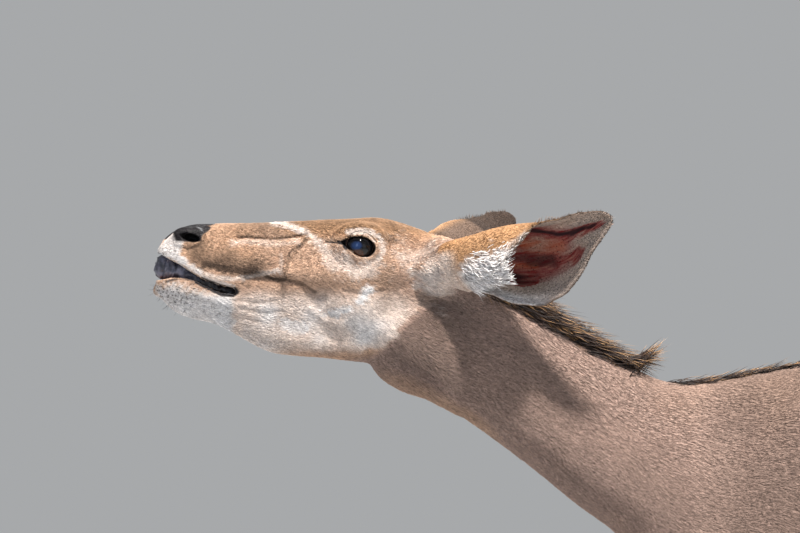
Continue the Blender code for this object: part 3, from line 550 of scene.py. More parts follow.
def ripple(places, size, seed):
    """A smooth wavering over space, about -1 to 1, whose waves are about this long."""
    waves = np.random.default_rng(seed)
    total = np.zeros(len(places))
    for _ in range(7):
        way = waves.normal(size=3)
        way /= np.linalg.norm(way)
        total += np.sin(places @ way * (2 * pi / size) * waves.uniform(0.6, 1.5) + waves.uniform(0, 2 * pi))
    return total / 3.2


# ---- the masses of the body, as in the solids ------------------------------------------------------------
def limb(name, rows, **shape):
    return tube(name, [(*at(*row[:3]), *row[3:]) for row in rows], **shape)


def leg(name, rows, side, step):
    """A limb whose rows also say, after the first number, how far the section goes with the step."""
    return limb(name, [(x + share * step, side * y, *rest) for x, share, y, *rest in rows])


def muscles(rows, side, step=0.0):
    """Balls of flesh: name, along the body, share of the step, to the side, height, radii and turn."""
    return [
        ball(name, at(x + share * step, side * y, z), radii, turn=turn)
        for name, x, share, y, z, radii, turn in rows
    ]


TRUNK = (
    (-0.215, 0, 0.915, 0.078, 0.120, 0.00),
    (-0.150, 0, 0.935, 0.112, 0.198, -0.20),
    (-0.050, 0, 0.952, 0.134, 0.245, -0.42),
    (0.060, 0, 0.946, 0.152, 0.250, -0.40),
    (0.200, 0, 0.930, 0.174, 0.238, -0.25),
    (0.340, 0, 0.926, 0.187, 0.226, -0.14),
    (0.460, 0, 0.934, 0.181, 0.214, -0.12),
    (0.570, 0, 0.956, 0.164, 0.198, -0.06),
    (0.680, 0, 0.982, 0.146, 0.176, 0.05),
    (0.770, 0, 0.995, 0.112, 0.148, 0.00),
    (0.830, 0, 0.998, 0.078, 0.112, 0.00),
)
BRISKET = (("brisket", -0.158, 0, 0, 0.850, (0.082, 0.074, 0.122), -0.40),)
TRUNK_MUSCLES = (
    ("hip", 0.620, 0, 0.068, 1.052, (0.125, 0.062, 0.088), 0.2),
    ("croup", 0.735, 0, 0.052, 1.036, (0.140, 0.066, 0.096), 0.3),
    ("buttock", 0.822, 0, 0.048, 0.968, (0.056, 0.042, 0.125), -0.10),
    ("flank", 0.505, 0, 0.118, 0.866, (0.140, 0.050, 0.110), 0.35),
    ("chest", -0.148, 0, 0.054, 0.905, (0.095, 0.066, 0.130), -0.3),
)


def torso_masses():
    pieces = [limb("trunk", TRUNK, sides=24)] + muscles(BRISKET, 1)
    for _, side in SIDES:
        pieces += muscles(TRUNK_MUSCLES, side)
    return pieces


def neck_masses():
    neck = [
        (-0.560, 0, 1.256, 0.044, 0.050, 0.00),
        (-0.515, 0, 1.230, 0.050, 0.062, 0.00),
        (-0.437, 0, 1.196, 0.053, 0.073, -0.08),
        (-0.358, 0, 1.149, 0.060, 0.082, -0.12),
        (-0.280, 0, 1.099, 0.072, 0.094, -0.15),
        (-0.205, 0, 1.052, 0.092, 0.104, -0.20),
        (-0.090, 0, 0.980, 0.110, 0.180, -0.20),
    ]
    crest = [
        (-0.535, 0, 1.300, 0.034, 0.030),
        (-0.490, 0, 1.300, 0.040, 0.038),
        (-0.440, 0, 1.262, 0.040, 0.040),
        (-0.380, 0, 1.214, 0.042, 0.045),
        (-0.310, 0, 1.168, 0.044, 0.050),
        (-0.230, 0, 1.120, 0.050, 0.060),
        (-0.130, 0, 1.120, 0.060, 0.070),
        (-0.020, 0, 1.140, 0.060, 0.070),
    ]
    throat = [
        (-0.574, 0, 1.219, 0.018, 0.020),
        (-0.556, 0, 1.207, 0.026, 0.031),
        (-0.532, 0, 1.197, 0.034, 0.036),
        (-0.500, 0, 1.190, 0.041, 0.039),
        (-0.460, 0, 1.172, 0.047, 0.042),
    ]
    return [limb("neck", neck, sides=20), limb("crest", crest, sides=16), limb("throat", throat, sides=16)]


# A leg's sections: along the body, share of the step, to the side, height, half width and half depth.
FORELEG = (
    (-0.085, 0.00, 0.105, 0.800, 0.0440, 0.0750),
    (-0.068, 0.00, 0.106, 0.715, 0.0420, 0.0660),
    (-0.070, -0.10, 0.106, 0.620, 0.0370, 0.0520),
    (-0.078, -0.30, 0.104, 0.520, 0.0300, 0.0400),
    (-0.083, -0.48, 0.102, 0.455, 0.0270, 0.0330),
    (-0.088, -0.58, 0.101, 0.408, 0.0300, 0.0350),
    (-0.085, -0.65, 0.100, 0.366, 0.0260, 0.0290),
    (-0.081, -0.75, 0.099, 0.310, 0.0185, 0.0220),
    (-0.080, -0.87, 0.098, 0.210, 0.0175, 0.0210),
    (-0.080, -0.95, 0.097, 0.150, 0.0195, 0.0240),
    (-0.083, -1.00, 0.097, 0.122, 0.0235, 0.0270),
    (-0.095, -1.00, 0.097, 0.090, 0.0210, 0.0225),
    (-0.108, -1.00, 0.097, 0.062, 0.0240, 0.0260),
    (-0.116, -1.00, 0.097, 0.046, 0.0245, 0.0280),
    (-0.119, -1.00, 0.097, 0.036, 0.0240, 0.0260),
)
FORELEG_MUSCLES = (
    ("blade", -0.070, 0, 0.062, 0.990, (0.112, 0.060, 0.200), 0.40),
    ("triceps", -0.024, 0, 0.102, 0.862, (0.098, 0.050, 0.128), 0.55),
    ("shoulder_point", -0.146, 0, 0.086, 0.885, (0.075, 0.052, 0.100), -0.2),
    ("upper_arm", -0.110, 0, 0.108, 0.800, (0.062, 0.044, 0.085), -0.5),
    ("elbow", -0.022, 0, 0.104, 0.745, (0.032, 0.026, 0.045), 0.4),
    ("forearm", -0.075, 0, 0.112, 0.640, (0.040, 0.030, 0.090), 0.0),
)
HINDLEG = (
    (0.685, 0.00, 0.100, 0.850, 0.0600, 0.1100),
    (0.690, 0.00, 0.108, 0.760, 0.0500, 0.0900),
    (0.722, 0.15, 0.107, 0.670, 0.0390, 0.0640),
    (0.768, 0.35, 0.103, 0.595, 0.0290, 0.0450),
    (0.800, 0.50, 0.100, 0.535, 0.0260, 0.0400),
    (0.812, 0.58, 0.099, 0.495, 0.0280, 0.0400),
    (0.808, 0.65, 0.098, 0.448, 0.0250, 0.0330),
    (0.802, 0.75, 0.097, 0.380, 0.0195, 0.0250),
    (0.800, 0.88, 0.096, 0.250, 0.0180, 0.0225),
    (0.800, 0.96, 0.095, 0.165, 0.0200, 0.0250),
    (0.797, 1.00, 0.095, 0.130, 0.0240, 0.0280),
    (0.785, 1.00, 0.095, 0.095, 0.0210, 0.0225),
    (0.772, 1.00, 0.095, 0.064, 0.0240, 0.0260),
    (0.764, 1.00, 0.095, 0.046, 0.0245, 0.0280),
    (0.761, 1.00, 0.095, 0.036, 0.0240, 0.0260),
)
HEEL = (
    (0.792, 0.40, 0.101, 0.610, 0.0100, 0.0130),
    (0.834, 0.48, 0.100, 0.562, 0.0120, 0.0140),
    (0.850, 0.53, 0.099, 0.530, 0.0160, 0.0170),
    (0.838, 0.58, 0.098, 0.485, 0.0140, 0.0140),
)
HINDLEG_MUSCLES = (
    ("thigh", 0.738, 0, 0.088, 0.915, (0.116, 0.060, 0.185), -0.12),
    ("quadriceps", 0.648, 0, 0.108, 0.885, (0.078, 0.052, 0.145), 0.30),
    ("hamstring", 0.785, 0, 0.090, 0.800, (0.062, 0.048, 0.130), 0.25),
    ("stifle", 0.640, 0, 0.118, 0.775, (0.045, 0.036, 0.050), 0.0),
    ("gaskin", 0.725, 0.15, 0.112, 0.690, (0.052, 0.034, 0.095), -0.45),
)


def foreleg_masses(side, step):
    return [leg("foreleg", FORELEG, side, step)] + muscles(FORELEG_MUSCLES, side, step)


def hindleg_masses(side, step):
    return [leg("hindleg", HINDLEG, side, step), leg("heel", HEEL, side, step),
            *muscles(HINDLEG_MUSCLES, side, step)]


def tail_masses():
    dock = [
        (0.815, 0, 1.075, 0.0220, 0.0240),
        (0.868, 0, 1.060, 0.0210, 0.0200),
        (0.905, 0, 1.022, 0.0180, 0.0160),
        (0.918, 0, 0.960, 0.0160, 0.0125),
        (0.921, 0, 0.880, 0.0145, 0.0110),
        (0.919, 0, 0.800, 0.0125, 0.0095),
        (0.915, 0, 0.735, 0.0090, 0.0080),
    ]
    return [limb("dock", dock, sides=12)]


def head_masses():
    """The head in one loft: forward of the eye, top and bottom against the eye, half width, and how far the
    lower half narrows. Then lower lip, eye sockets, ear roots and the nostrils' wings."""
    sections = [
        (0.2445, -0.018, -0.052, 0.010, 0.75),
        (0.242, -0.004, -0.058, 0.017, 0.80),
        (0.236, 0.009, -0.066, 0.0225, 0.85),
        (0.226, 0.018, -0.076, 0.0270, 0.85),
        (0.214, 0.024, -0.083, 0.0295, 0.82),
        (0.198, 0.028, -0.088, 0.0310, 0.80),
        (0.176, 0.0285, -0.093, 0.0320, 0.75),
        (0.151, 0.0288, -0.105, 0.0330, 0.68),
        (0.130, 0.029, -0.117, 0.0340, 0.62),
        (0.106, 0.030, -0.128, 0.0370, 0.58),
        (0.077, 0.0312, -0.132, 0.0420, 0.58),
        (0.045, 0.0328, -0.134, 0.0480, 0.60),
        (0.010, 0.034, -0.138, 0.0530, 0.62),
        (-0.020, 0.0355, -0.140, 0.0545, 0.66),
        (-0.045, 0.0305, -0.134, 0.0525, 0.70),
        (-0.070, 0.0215, -0.115, 0.0480, 0.72),
        (-0.095, 0.011, -0.088, 0.0420, 0.75),
        (-0.118, 0.000, -0.060, 0.0320, 0.80),
    ]
    rows, sides = spline(sections, 4), 48
    verts = []
    for forward, top, bottom, width, low in rows:
        middle, half = (top + bottom) / 2, (top - bottom) / 2
        for turn_out, turn_up in circle(sides):
            up = copysign(abs(turn_up) ** 0.86, turn_up)
            out = copysign(abs(turn_out) ** 0.78, turn_out)
            under = max(0.45 - up, 0.0) / 1.45
            narrow = 1 - (1 - low) * under * under * (3 - 2 * under)
            verts.append(on_head(forward, width * out * narrow, middle + half * up))
    pieces = [face_out(mesh_object("skull", verts, ring_faces(len(rows), sides))),
              ball("lower_lip", on_head(0.229, 0, -0.0525), (0.0205, 0.017, 0.0120))]
    for _, side in SIDES:
        pieces += [
            ball("orbit", on_head(-0.001, side * 0.036, 0.000), (0.041, 0.0262, 0.031)),
            ball("ear_base", on_head(-0.096, side * 0.034, -0.024), (0.038, 0.027, 0.038)),
            ball("nostril_wing", on_head(0.201, side * 0.0185, 0.010), (0.0255, 0.0125, 0.0150), turn=0.20),
        ]
    return pieces


# What is raised or sunk on each side of the head: height, reach, and a line of places forward of the eye and
# over it.
RELIEF = (
    (0.005, 0.015, ((0.085, -0.036), (0.045, -0.031), (0.0, -0.034), (-0.045, -0.028), (-0.085, -0.02))),
    (-0.005, 0.015, ((-0.048, 0.006), (-0.07, 0.002))),
    (-0.003, 0.016, ((0.058, 0.004), (0.048, -0.008))),
    (0.0055, 0.03, ((-0.002, -0.074), (-0.028, -0.092))),
    (-0.003, 0.014, ((0.052, -0.066), (0.036, -0.106))),
    (0.003, 0.012, ((0.11, -0.104), (0.05, -0.118), (0.0, -0.122))),
    (-0.0034, 0.007, ((0.135, -0.036), (0.095, -0.038), (0.072, -0.043), (0.048, -0.06))),
    (0.003, 0.008, ((0.15, -0.03), (0.11, -0.028), (0.085, -0.03))),
    (-0.0025, 0.009, ((0.192, -0.018), (0.145, -0.024))),
    (-0.002, 0.005, ((0.15, 0.011), (0.075, 0.012))),
    (0.002, 0.006, ((0.15, 0.019), (0.075, 0.02))),
    (0.002, 0.004, ((0.064, 0.012), (0.074, 0.0), (0.086, -0.016), (0.09, -0.03))),
    (0.0035, 0.007, ((0.238, -0.006), (0.215, -0.016), (0.185, -0.033), (0.15, -0.043))),
    (0.0035, 0.011, ((0.238, -0.048), (0.205, -0.052), (0.165, -0.064))),
    (-0.002, 0.01, ((0.175, -0.084), (0.15, -0.088))),
)
# The skin's own folds, veins and wrinkles, finer than those of the solids.
FOLDS = (
    (-0.0016, 0.002, ((0.02, 0.015), (0.01, 0.0185), (0.0, 0.0195), (-0.014, 0.016), (-0.024, 0.006))),
    (0.0014, 0.004, ((0.016, 0.022), (0.0, 0.025), (-0.018, 0.0215), (-0.029, 0.008))),
    (-0.0005, 0.0024, ((0.026, -0.008), (0.012, -0.0185), (-0.006, -0.0215), (-0.022, -0.013))),
    (-0.0004, 0.0022, ((0.03, -0.016), (0.014, -0.027), (-0.008, -0.03))),
    (-0.0016, 0.0022, ((0.04, 0.006), (0.024, 0.0066))),
    (-0.0014, 0.002, ((0.148, 0.0108), (0.11, 0.01), (0.072, 0.012))),
    (0.0012, 0.0018, ((0.064, 0.012), (0.0744, 0.0), (0.0864, -0.0156), (0.09, -0.0252),
        (0.0876, -0.0372))),
    (0.0008, 0.0016, ((0.0864, -0.0156), (0.104, -0.02), (0.122, -0.018))),
    (-0.0018, 0.003, ((0.1356, -0.036), (0.1116, -0.036), (0.0936, -0.0396), (0.072, -0.0432),
        (0.048, -0.06))),
    (-0.0012, 0.0026, ((0.185, 0.019), (0.18, 0.006), (0.187, -0.007))),
    (-0.0008, 0.0022, ((0.176, 0.016), (0.172, 0.004), (0.178, -0.01))),
    (0.0012, 0.002, ((0.221, 0.003), (0.206, 0.001), (0.192, 0.006), (0.187, 0.015), (0.196, 0.0215))),
    (-0.0007, 0.002, ((0.146, -0.064), (0.12, -0.067), (0.1, -0.064))),
    (-0.0007, 0.0022, ((0.143, -0.074), (0.116, -0.079), (0.092, -0.077))),
    (-0.0006, 0.002, ((0.14, -0.084), (0.118, -0.091))),
    (0.001, 0.004, ((0.06, -0.074), (0.04, -0.088), (0.02, -0.092))),
    (-0.0008, 0.003, ((0.018, -0.052), (-0.006, -0.058), (-0.03, -0.052))),
)


def off_line(line, f, h):
    """How far places of the side view lie from a line of them."""
    nearest = np.full(len(f), 1e9)
    for (ax, ay), (bx, by) in zip(line, line[1:]):
        dx, dy = bx - ax, by - ay
        t = np.clip(((f - ax) * dx + (h - ay) * dy) / (dx * dx + dy * dy), 0, 1)
        nearest = np.minimum(nearest, np.hypot(f - ax - t * dx, h - ay - t * dy))
    return nearest


def sculpt(mesh, lines, deeper=1.0):
    """Raises and sinks the lines on both sides of the head."""
    places, normals = places_of(mesh), normals_of(mesh)
    f, y, h = from_eye(places)
    shift = sum(
        deeper * height * np.exp(-((off_line(line, f, h) / reach) ** 2)) for height, reach, line in lines
    )
    shift *= np.minimum(1.0, np.abs(y) / 0.012)
    move_to(mesh, places + normals * shift[:, None])


def softness(places):
    """How far creases are smoothed away: all over the trunk, less at the back of the head, and little on the
    thin legs and the muzzle."""
    x, _, z = from_withers(places)
    above_knees = np.clip((z - 0.45) / 0.30, 0, 1)
    behind_head = np.clip((x + 0.52) / 0.12, 0, 1)
    behind_lips = np.clip((x + 0.76) / 0.08, 0, 1) * above_knees
    return 0.10 + 0.45 * behind_lips + 0.45 * above_knees * behind_head


def blended(name, pieces, voxel, rounds):
    """One skin over overlapping pieces, with its creases smoothed away."""
    obj = remeshed(join(name, pieces), voxel)
    return smoothed(obj, rounds, softness(places_of(obj.data)))


def coat_depth(places):
    """How far the skin lies inside the solids: least on the face and the lower legs."""
    x, _, z = from_withers(places)
    depth = 0.0030 - 0.0020 * rise(-0.36, -0.52, x)
    return np.minimum(depth, 0.0012 + 0.0018 * rise(0.45, 0.80, z))


def pulled_in(obj):
    places, normals = places_of(obj.data), normals_of(obj.data)
    move_to(obj.data, places - normals * coat_depth(places)[:, None])


# ---- ears ------------------------------------------------------------------------------------------------
EAR_LENGTH = 0.247
EAR_THICK = 0.0030
# Along the ear: half width, how far its middle hangs below its axis, half depth of the cup, and how far its
# wall goes round from the back: over the top and front, and underneath. Near the base the two meet and close
# it to a tube.
EAR_SHAPE = (
    (0.00, 0.026, 0.003, 0.020, 4.71, 1.57),
    (0.08, 0.033, 0.008, 0.023, 4.50, 1.57),
    (0.17, 0.0395, 0.0145, 0.027, 3.60, 1.53),
    (0.25, 0.0465, 0.0215, 0.031, 3.30, 1.50),
    (0.345, 0.0528, 0.0270, 0.035, 3.22, 1.46),
    (0.43, 0.0548, 0.0300, 0.0378, 3.20, 1.43),
    (0.46, 0.0550, 0.0307, 0.0380, 2.75, 1.42),
    (0.51, 0.0535, 0.0310, 0.0375, 2.50, 1.40),
    (0.575, 0.0500, 0.0307, 0.0355, 2.15, 1.37),
    (0.61, 0.0475, 0.0303, 0.0340, 1.72, 1.35),
    (0.67, 0.0430, 0.0283, 0.0305, 1.45, 1.31),
    (0.765, 0.0333, 0.0202, 0.0230, 1.28, 1.22),
    (0.870, 0.0236, 0.0129, 0.0150, 1.05, 1.05),
    (0.925, 0.0170, 0.0113, 0.0105, 0.95, 0.95),
    (0.950, 0.0120, 0.0115, 0.0075, 0.90, 0.90),
    (0.964, 0.0060, 0.0120, 0.0045, 0.85, 0.85),
)
# Its base on each side of the head, its axis and the way its cup faces.
EAR_LIE = {-1: ((-0.104, -0.046, -0.018), (0.80, -0.54, 0.264), (-0.30, -0.90, -0.35)),
           1: ((-0.093, 0.044, -0.006), (0.38, 0.88, 0.215), (-0.83, 0.05, -0.41))}


class Ear:
    """One ear's own measures: how far along it a place is, how far round its wall, and whether inside."""

    def __init__(self, side):
        base, axis, facing = EAR_LIE[side]
        self.base = Vector(on_head(*base))
        self.axis = Vector(axis).normalized()
        facing = Vector(facing)
        self.facing = (facing - self.axis * facing.dot(self.axis)).normalized()
        self.across = self.axis.cross(self.facing)
        if self.across.z > 0:
            self.across = -self.across
        self.rows = np.array(spline([list(row) for row in EAR_SHAPE], 12))

    def ring(self, u, shrink=0.0):
        """Middle and radii of the wall at u, drawn in by a thickness."""
        half, hang, deep = (np.interp(u, self.rows[:, 0], self.rows[:, k]) for k in (1, 2, 3))
        shrink = min(shrink, 0.6 * min(half, deep))
        lift = deep * min(1.0, 0.35 + 0.65 * u)
        middle = self.base + self.axis * (EAR_LENGTH * u) + self.across * hang + self.facing * lift
        return middle, half - shrink, deep - shrink

    def wall(self, u, over, under, share, inner):
        """A place on the wall: its outside, or its ridged inside, with a wavering rim."""
        angle = -over + (over + under) * share
        rim = abs(2 * share - 1) ** 8
        ridge = inner * 0.0011 * max(0.0, cos(17 * angle + 2 * u)) * sin(pi * min(u * 1.1, 1.0)) * (1 - rim)
        wave = 0.0011 * sin(41 * u + 3 * share) * rim
        thick = EAR_THICK * (1 - 0.15 * u) * inner
        middle, half, deep = self.ring(u, 0.0006 + thick + ridge - wave)
        return middle + self.across * (sin(angle) * half) - self.facing * (cos(angle) * deep)

    def shell(self, turns=64):
        """The cupped leaf as a closed shell."""
        rings = self.rows[::2]
        verts = [
            self.wall(u, over, under, k / turns, inner)
            for inner in (0, 1) for u, *_, over, under in rings for k in range(turns + 1)
        ]
        faces = []
        wide, count = turns + 1, len(rings)
        under = count * wide
        for i in range(count - 1):
            for k in range(turns):
                a, b = i * wide + k, i * wide + k + 1
                faces.append((a, b, b + wide, a + wide))
                faces.append((a + under, a + wide + under, b + wide + under, b + under))
            for k in (0, turns):
                a = i * wide + k
                faces.append((a, a + wide, a + wide + under, a + under))
        for i in (0, count - 1):
            for k in range(turns):
                a = i * wide + k
                faces.append((a, a + 1, a + 1 + under, a + under))
        return face_out(mesh_object("ear", verts, faces))

    def root(self):
        """What fills the tube at the ear's base, from inside the head."""
        verts, sides = [], 32
        levels = (-0.10, -0.05, 0.0, 0.05, 0.08, 0.10, 0.11)
        for level, scale in zip(levels, (0.80, 0.92, 0.98, 0.98, 0.90, 0.70, 0.40)):
            middle, half, deep = self.ring(max(level, 0.0))
            middle += self.axis * (EAR_LENGTH * min(level, 0.0))
            for ahead, down in circle(sides):
                sideways = self.across * (down * half * scale)
                verts.append(middle + sideways - self.facing * (ahead * deep * scale))
        return face_out(mesh_object("ear_root", verts, ring_faces(len(levels), sides)))

    def measure(self, places, normals):
        """Along the ear from 0 to 1, the angle round its wall, its share from -1 at the front rim to 1 at the
        lower one, whether inside, and whether on the ear at all."""
        away = places - np.array(self.base)
        axis, across, facing = np.array(self.axis), np.array(self.across), np.array(self.facing)
        u = away @ axis / EAR_LENGTH
        half, hang, deep, over, under = (np.interp(u, self.rows[:, 0], self.rows[:, k]) for k in range(1, 6))
        down = away @ across - hang
        front = away @ facing - deep * np.clip(0.35 + 0.65 * u, 0, 1)
        reach = np.hypot(down / half, front / deep)
        angle = np.arctan2(down / half, -front / deep)
        angle = np.where(angle > under + 0.5 * (2 * pi - over - under), angle - 2 * pi, angle)
        share = np.where(angle > 0, angle / under, angle / over)
        out = (down / half**2)[:, None] * across + (front / deep**2)[:, None] * facing
        inside = (normals * out).sum(1) < 0
        off = np.abs(reach - 1) / np.maximum(reach, 1e-6) * np.hypot(down, front)
        on = (u > 0.02) & (u < 1.04) & (off < 0.0075) & (np.abs(share) < 1.15)
        return u, angle, share, inside, on


EARS = {side: Ear(side) for _, side in SIDES}


# ---- face ------------------------------------------------------------------------------------------------
# Lines of the side view, forward of the eye and over it.
UPPER_LIP = ((0.24, -0.0075), (0.233, -0.012), (0.215, -0.0215), (0.2, -0.0315), (0.185, -0.04),
             (0.166, -0.0462), (0.149, -0.0505))
LOWER_LIP = ((0.149, -0.0575), (0.166, -0.056), (0.179, -0.05), (0.196, -0.0415), (0.209, -0.038),
             (0.227, -0.038), (0.24, -0.0408))
LID_LINE = ((0.0215, 0.0054), (0.0128, 0.01), (0.006, 0.0106), (-0.002, 0.0108), (-0.0092, 0.0085),
            (-0.0158, 0.0031), (-0.0172, -0.0023), (-0.0158, -0.0068), (-0.0108, -0.0109),
            (-0.0045, -0.0113), (0.0018, -0.01), (0.0081, -0.0059), (0.015, -0.0008))
LID_EDGE = spline(LID_LINE, 4, closed=True)


def prism(name, outline, low, high, flare=0.0):
    """A closed outline of the side view, drawn out sideways between two places, larger at the outer one."""
    count = len(outline)
    ends = ((low, 1.0), (high, 1 + flare))
    verts = [on_head(f * scale, y, h * scale) for y, scale in ends for f, h in outline]
    faces = [tuple(range(count)), tuple(range(count, 2 * count))[::-1]]
    faces += [(k, (k + 1) % count, count + (k + 1) % count, count + k) for k in range(count)]
    return face_out(mesh_object(name, verts, faces))


def mouth_gap():
    """The opening between the lips, out past the front of the face."""
    line = list(UPPER_LIP) + list(LOWER_LIP)
    ahead = [(0.275, line[-1][1]), (0.275, line[0][1])]
    return prism("mouth_gap", line + ahead, -0.08, 0.08)


def head_skin():
    """The head with its neck, ears, lids, eye sockets, nostrils and mouth in one fine mesh. Also the plain
    form that the body's neck is drawn onto."""
    form = blended("head_form", head_masses() + neck_masses(), FORM_VOXEL, FORM_ROUNDS)
    sculpt(form.data, RELIEF)
    head = form.copy()
    head.data = form.data.copy()
    link(head)
    pulled_in(head)
    pieces = [head]
    for _, side in SIDES:
        lids = ball("lids", EYE_AT[side], [EYE_RADIUS + 0.0030] * 3, level=5)
        pieces += [EARS[side].shell(), EARS[side].root(), lids]
    head = remeshed(join("head", pieces), HEAD_VOXEL)
    sculpt(head.data, FOLDS, deeper=1.6)
    first, second = [mouth_gap()], []
    for _, side in SIDES:
        outer, inner = on_head(0.2040, side * 0.0300, 0.0110), on_head(0.1990, side * 0.0190, 0.0100)
        first.append(prism("opening", LID_EDGE, side * (EYE_SIDE + 0.006), side * 0.078, flare=0.35))
        first.append(ball("nostril", outer, (0.0128, 0.0120, 0.0052), turn=0.24))
        second.append(ball("socket", EYE_AT[side], [EYE_RADIUS + 0.0002] * 3, level=5))
        second.append(ball("nostril", inner, (0.0125, 0.0100, 0.0062), turn=0.22))
    cut(head, first)
    cut(head, second)
    head = remeshed(head, HEAD_VOXEL)
    head = smoothed(head, 3, np.full(len(head.data.vertices), 0.8))
    lighter = head.modifiers.new("Decimate", "DECIMATE")
    lighter.ratio = 0.5
    return form, settle(head)


def cut_neck(bm, x, keep_front):
    """Cuts the mesh at this x and drops what lies behind it, but not the ears: only what hangs together with
    the neck's far end."""
    def by_cut(face):
        middle = face.calc_center_median()
        return abs(middle.y - EYE.y) < 0.075 and abs(middle.x - x) < 0.01
    region = [f for f in bm.faces if by_cut(f)]
    edges, verts = {e for f in region for e in f.edges}, {v for f in region for v in f.verts}
    geometry = list(edges) + list(verts) + region
    bmesh.ops.bisect_plane(bm, geom=geometry, plane_co=(x, 0, 0), plane_no=(1, 0, 0), dist=1e-7)
    ring = {v for v in bm.verts if abs(v.co.x - x) < 1e-5}
    start = max(bm.verts, key=lambda v: v.co.x) if keep_front else min(bm.verts, key=lambda v: v.co.x)
    front, reached = [start], {start}
    while front:
        for edge in front.pop().link_edges:
            for vert in edge.verts:
                if vert not in reached and vert not in ring:
                    reached.add(vert)
                    front.append(vert)
    bmesh.ops.delete(bm, geom=list(reached), context="VERTS")


def whole_skin():
    """Head and body as one closed mesh, bridged at the neck."""
    form, head = head_skin()
    pieces = torso_masses() + neck_masses() + head_masses() + tail_masses()
    for name, side in SIDES:
        pieces += foreleg_masses(side, STEP["fore", name]) + hindleg_masses(side, STEP["hind", name])
    body = blended("body", pieces, BODY_VOXEL, BODY_ROUNDS)
    wrap = body.modifiers.new("Shrinkwrap", "SHRINKWRAP")
    wrap.target = form
    near_head = np.clip((WITHERS.x - 0.30 - places_of(body.data)[:, 0]) / 0.095, 0, 1)
    wrap.vertex_group = weigh(body, "near", near_head)
    settle(body)
    drop(form)
    pulled_in(body)
    places = places_of(body.data)
    places[:, 2] = np.maximum(places[:, 2], HOOF_TOP - 0.004)
    move_to(body.data, places)
    bm = bmesh.new()
    bm.from_mesh(head.data)
    cut_neck(bm, WITHERS.x + NECK_CUT, keep_front=True)
    rear = bmesh.new()
    rear.from_mesh(body.data)
    cut_neck(rear, WITHERS.x + NECK_CUT + 0.002, keep_front=False)
    rear.to_mesh(body.data)
    rear.free()
    bm.from_mesh(body.data)
    drop(head)
    drop(body)
    bmesh.ops.bridge_loops(bm, edges=[e for e in bm.edges if e.is_boundary])
    near = [v for v in bm.verts if abs(v.co.x - WITHERS.x - NECK_CUT) < 0.012 and abs(v.co.y - EYE.y) < 0.07]
    for _ in range(4):
        bmesh.ops.smooth_vert(bm, verts=near, factor=0.5, use_axis_x=True, use_axis_y=True, use_axis_z=True)
    bmesh.ops.triangulate(bm, faces=[f for f in bm.faces if len(f.verts) > 4])
    bmesh.ops.recalc_face_normals(bm, faces=bm.faces)
    return solid("skin", bm)


# ---- marks of the coat -----------------------------------------------------------------------------------
# Lines of the head: strength, half width, how softly it ends, and places forward of the eye and over it.
CHEVRON = (0.6, 0.0034, 0.75, ((0.108, 0.029), (0.0985, 0.028), (0.085, 0.0236), (0.065, 0.0167),
                               (0.054, 0.01)))
# White marks of the coat, and painted highlights below the muzzle's crease, along its vein and on the upper
# lid.
WHITE_MARK_AND_HIGHLIGHT_LINES = (
    (0.54, 0.0052, 0.8, ((0.054, 0.009), (0.044, 0.0), (0.036, -0.01))),  # under the chevron
    (0.5, 0.011, 0.85, ((0.04, -0.008), (0.024, -0.022), (0.004, -0.027), (-0.012, -0.025))),
    # Painted highlight below the crease on the muzzle's upper side.
    (0.3, 0.0042, 0.9, ((0.1526, 0.0048), (0.1248, 0.0062), (0.0949, 0.0028), (0.076, 0.006))),
    # Painted highlight along the vein.
    (0.34, 0.0022, 0.8, ((0.094, -0.011), (0.0935, -0.031))),
    (0.9, 0.0062, 0.4, ((0.244, -0.003), (0.226, -0.01), (0.212, -0.018))),  # upper lip
    (0.84, 0.0042, 0.55, ((0.214, -0.017), (0.202, -0.025), (0.192, -0.031))),
    (0.66, 0.0026, 0.6, ((0.194, -0.032), (0.18, -0.0395), (0.166, -0.044), (0.152, -0.0475))),
    (0.54, 0.0028, 0.75, ((0.184, -0.0325), (0.1705, -0.0372), (0.1526, -0.039), (0.1347, -0.0362),
        (0.1128, -0.0318), (0.098, -0.0285))),  # under the dark patch
    (0.92, 0.015, 0.45, ((0.232, -0.06), (0.206, -0.066), (0.18, -0.072), (0.164, -0.073))),  # chin
    (0.8, 0.004, 0.6, ((0.166, -0.089), (0.152, -0.09))),
    (1.0, 0.0066, 0.6, ((-0.0105, -0.051), (-0.005, -0.058), (0.001, -0.065))),  # cheek spots
    (0.98, 0.006, 0.6, ((0.014, -0.0755), (0.024, -0.078), (0.034, -0.0805))),
    (0.8, 0.0046, 0.75, ((0.034, -0.0805), (0.045, -0.082))),
    (0.9, 0.0105, 0.7, ((0.07, -0.099), (0.08, -0.097), (0.088, -0.094))),
    (0.8, 0.006, 0.7, ((0.243, -0.05), (0.238, -0.057))),  # lower lip's front
    (0.62, 0.0032, 0.6, ((0.015, 0.017), (-0.002, 0.019), (-0.015, 0.0166), (-0.0228, 0.0105),
        (-0.0268, 0.003), (-0.0275, -0.006), (-0.022, -0.015))),  # round the eye
    # Painted highlight on the upper lid, under its fold.
    (0.44, 0.0012, 0.6, ((0.009, 0.0145), (-0.001, 0.0158), (-0.01, 0.0128), (-0.0175, 0.0056))),
    (0.72, 0.02, 0.7, ((-0.082, -0.034), (-0.092, -0.044), (-0.102, -0.052))),  # before the ear
    (0.4, 0.024, 0.85, ((-0.066, -0.006), (-0.086, -0.02))),
)
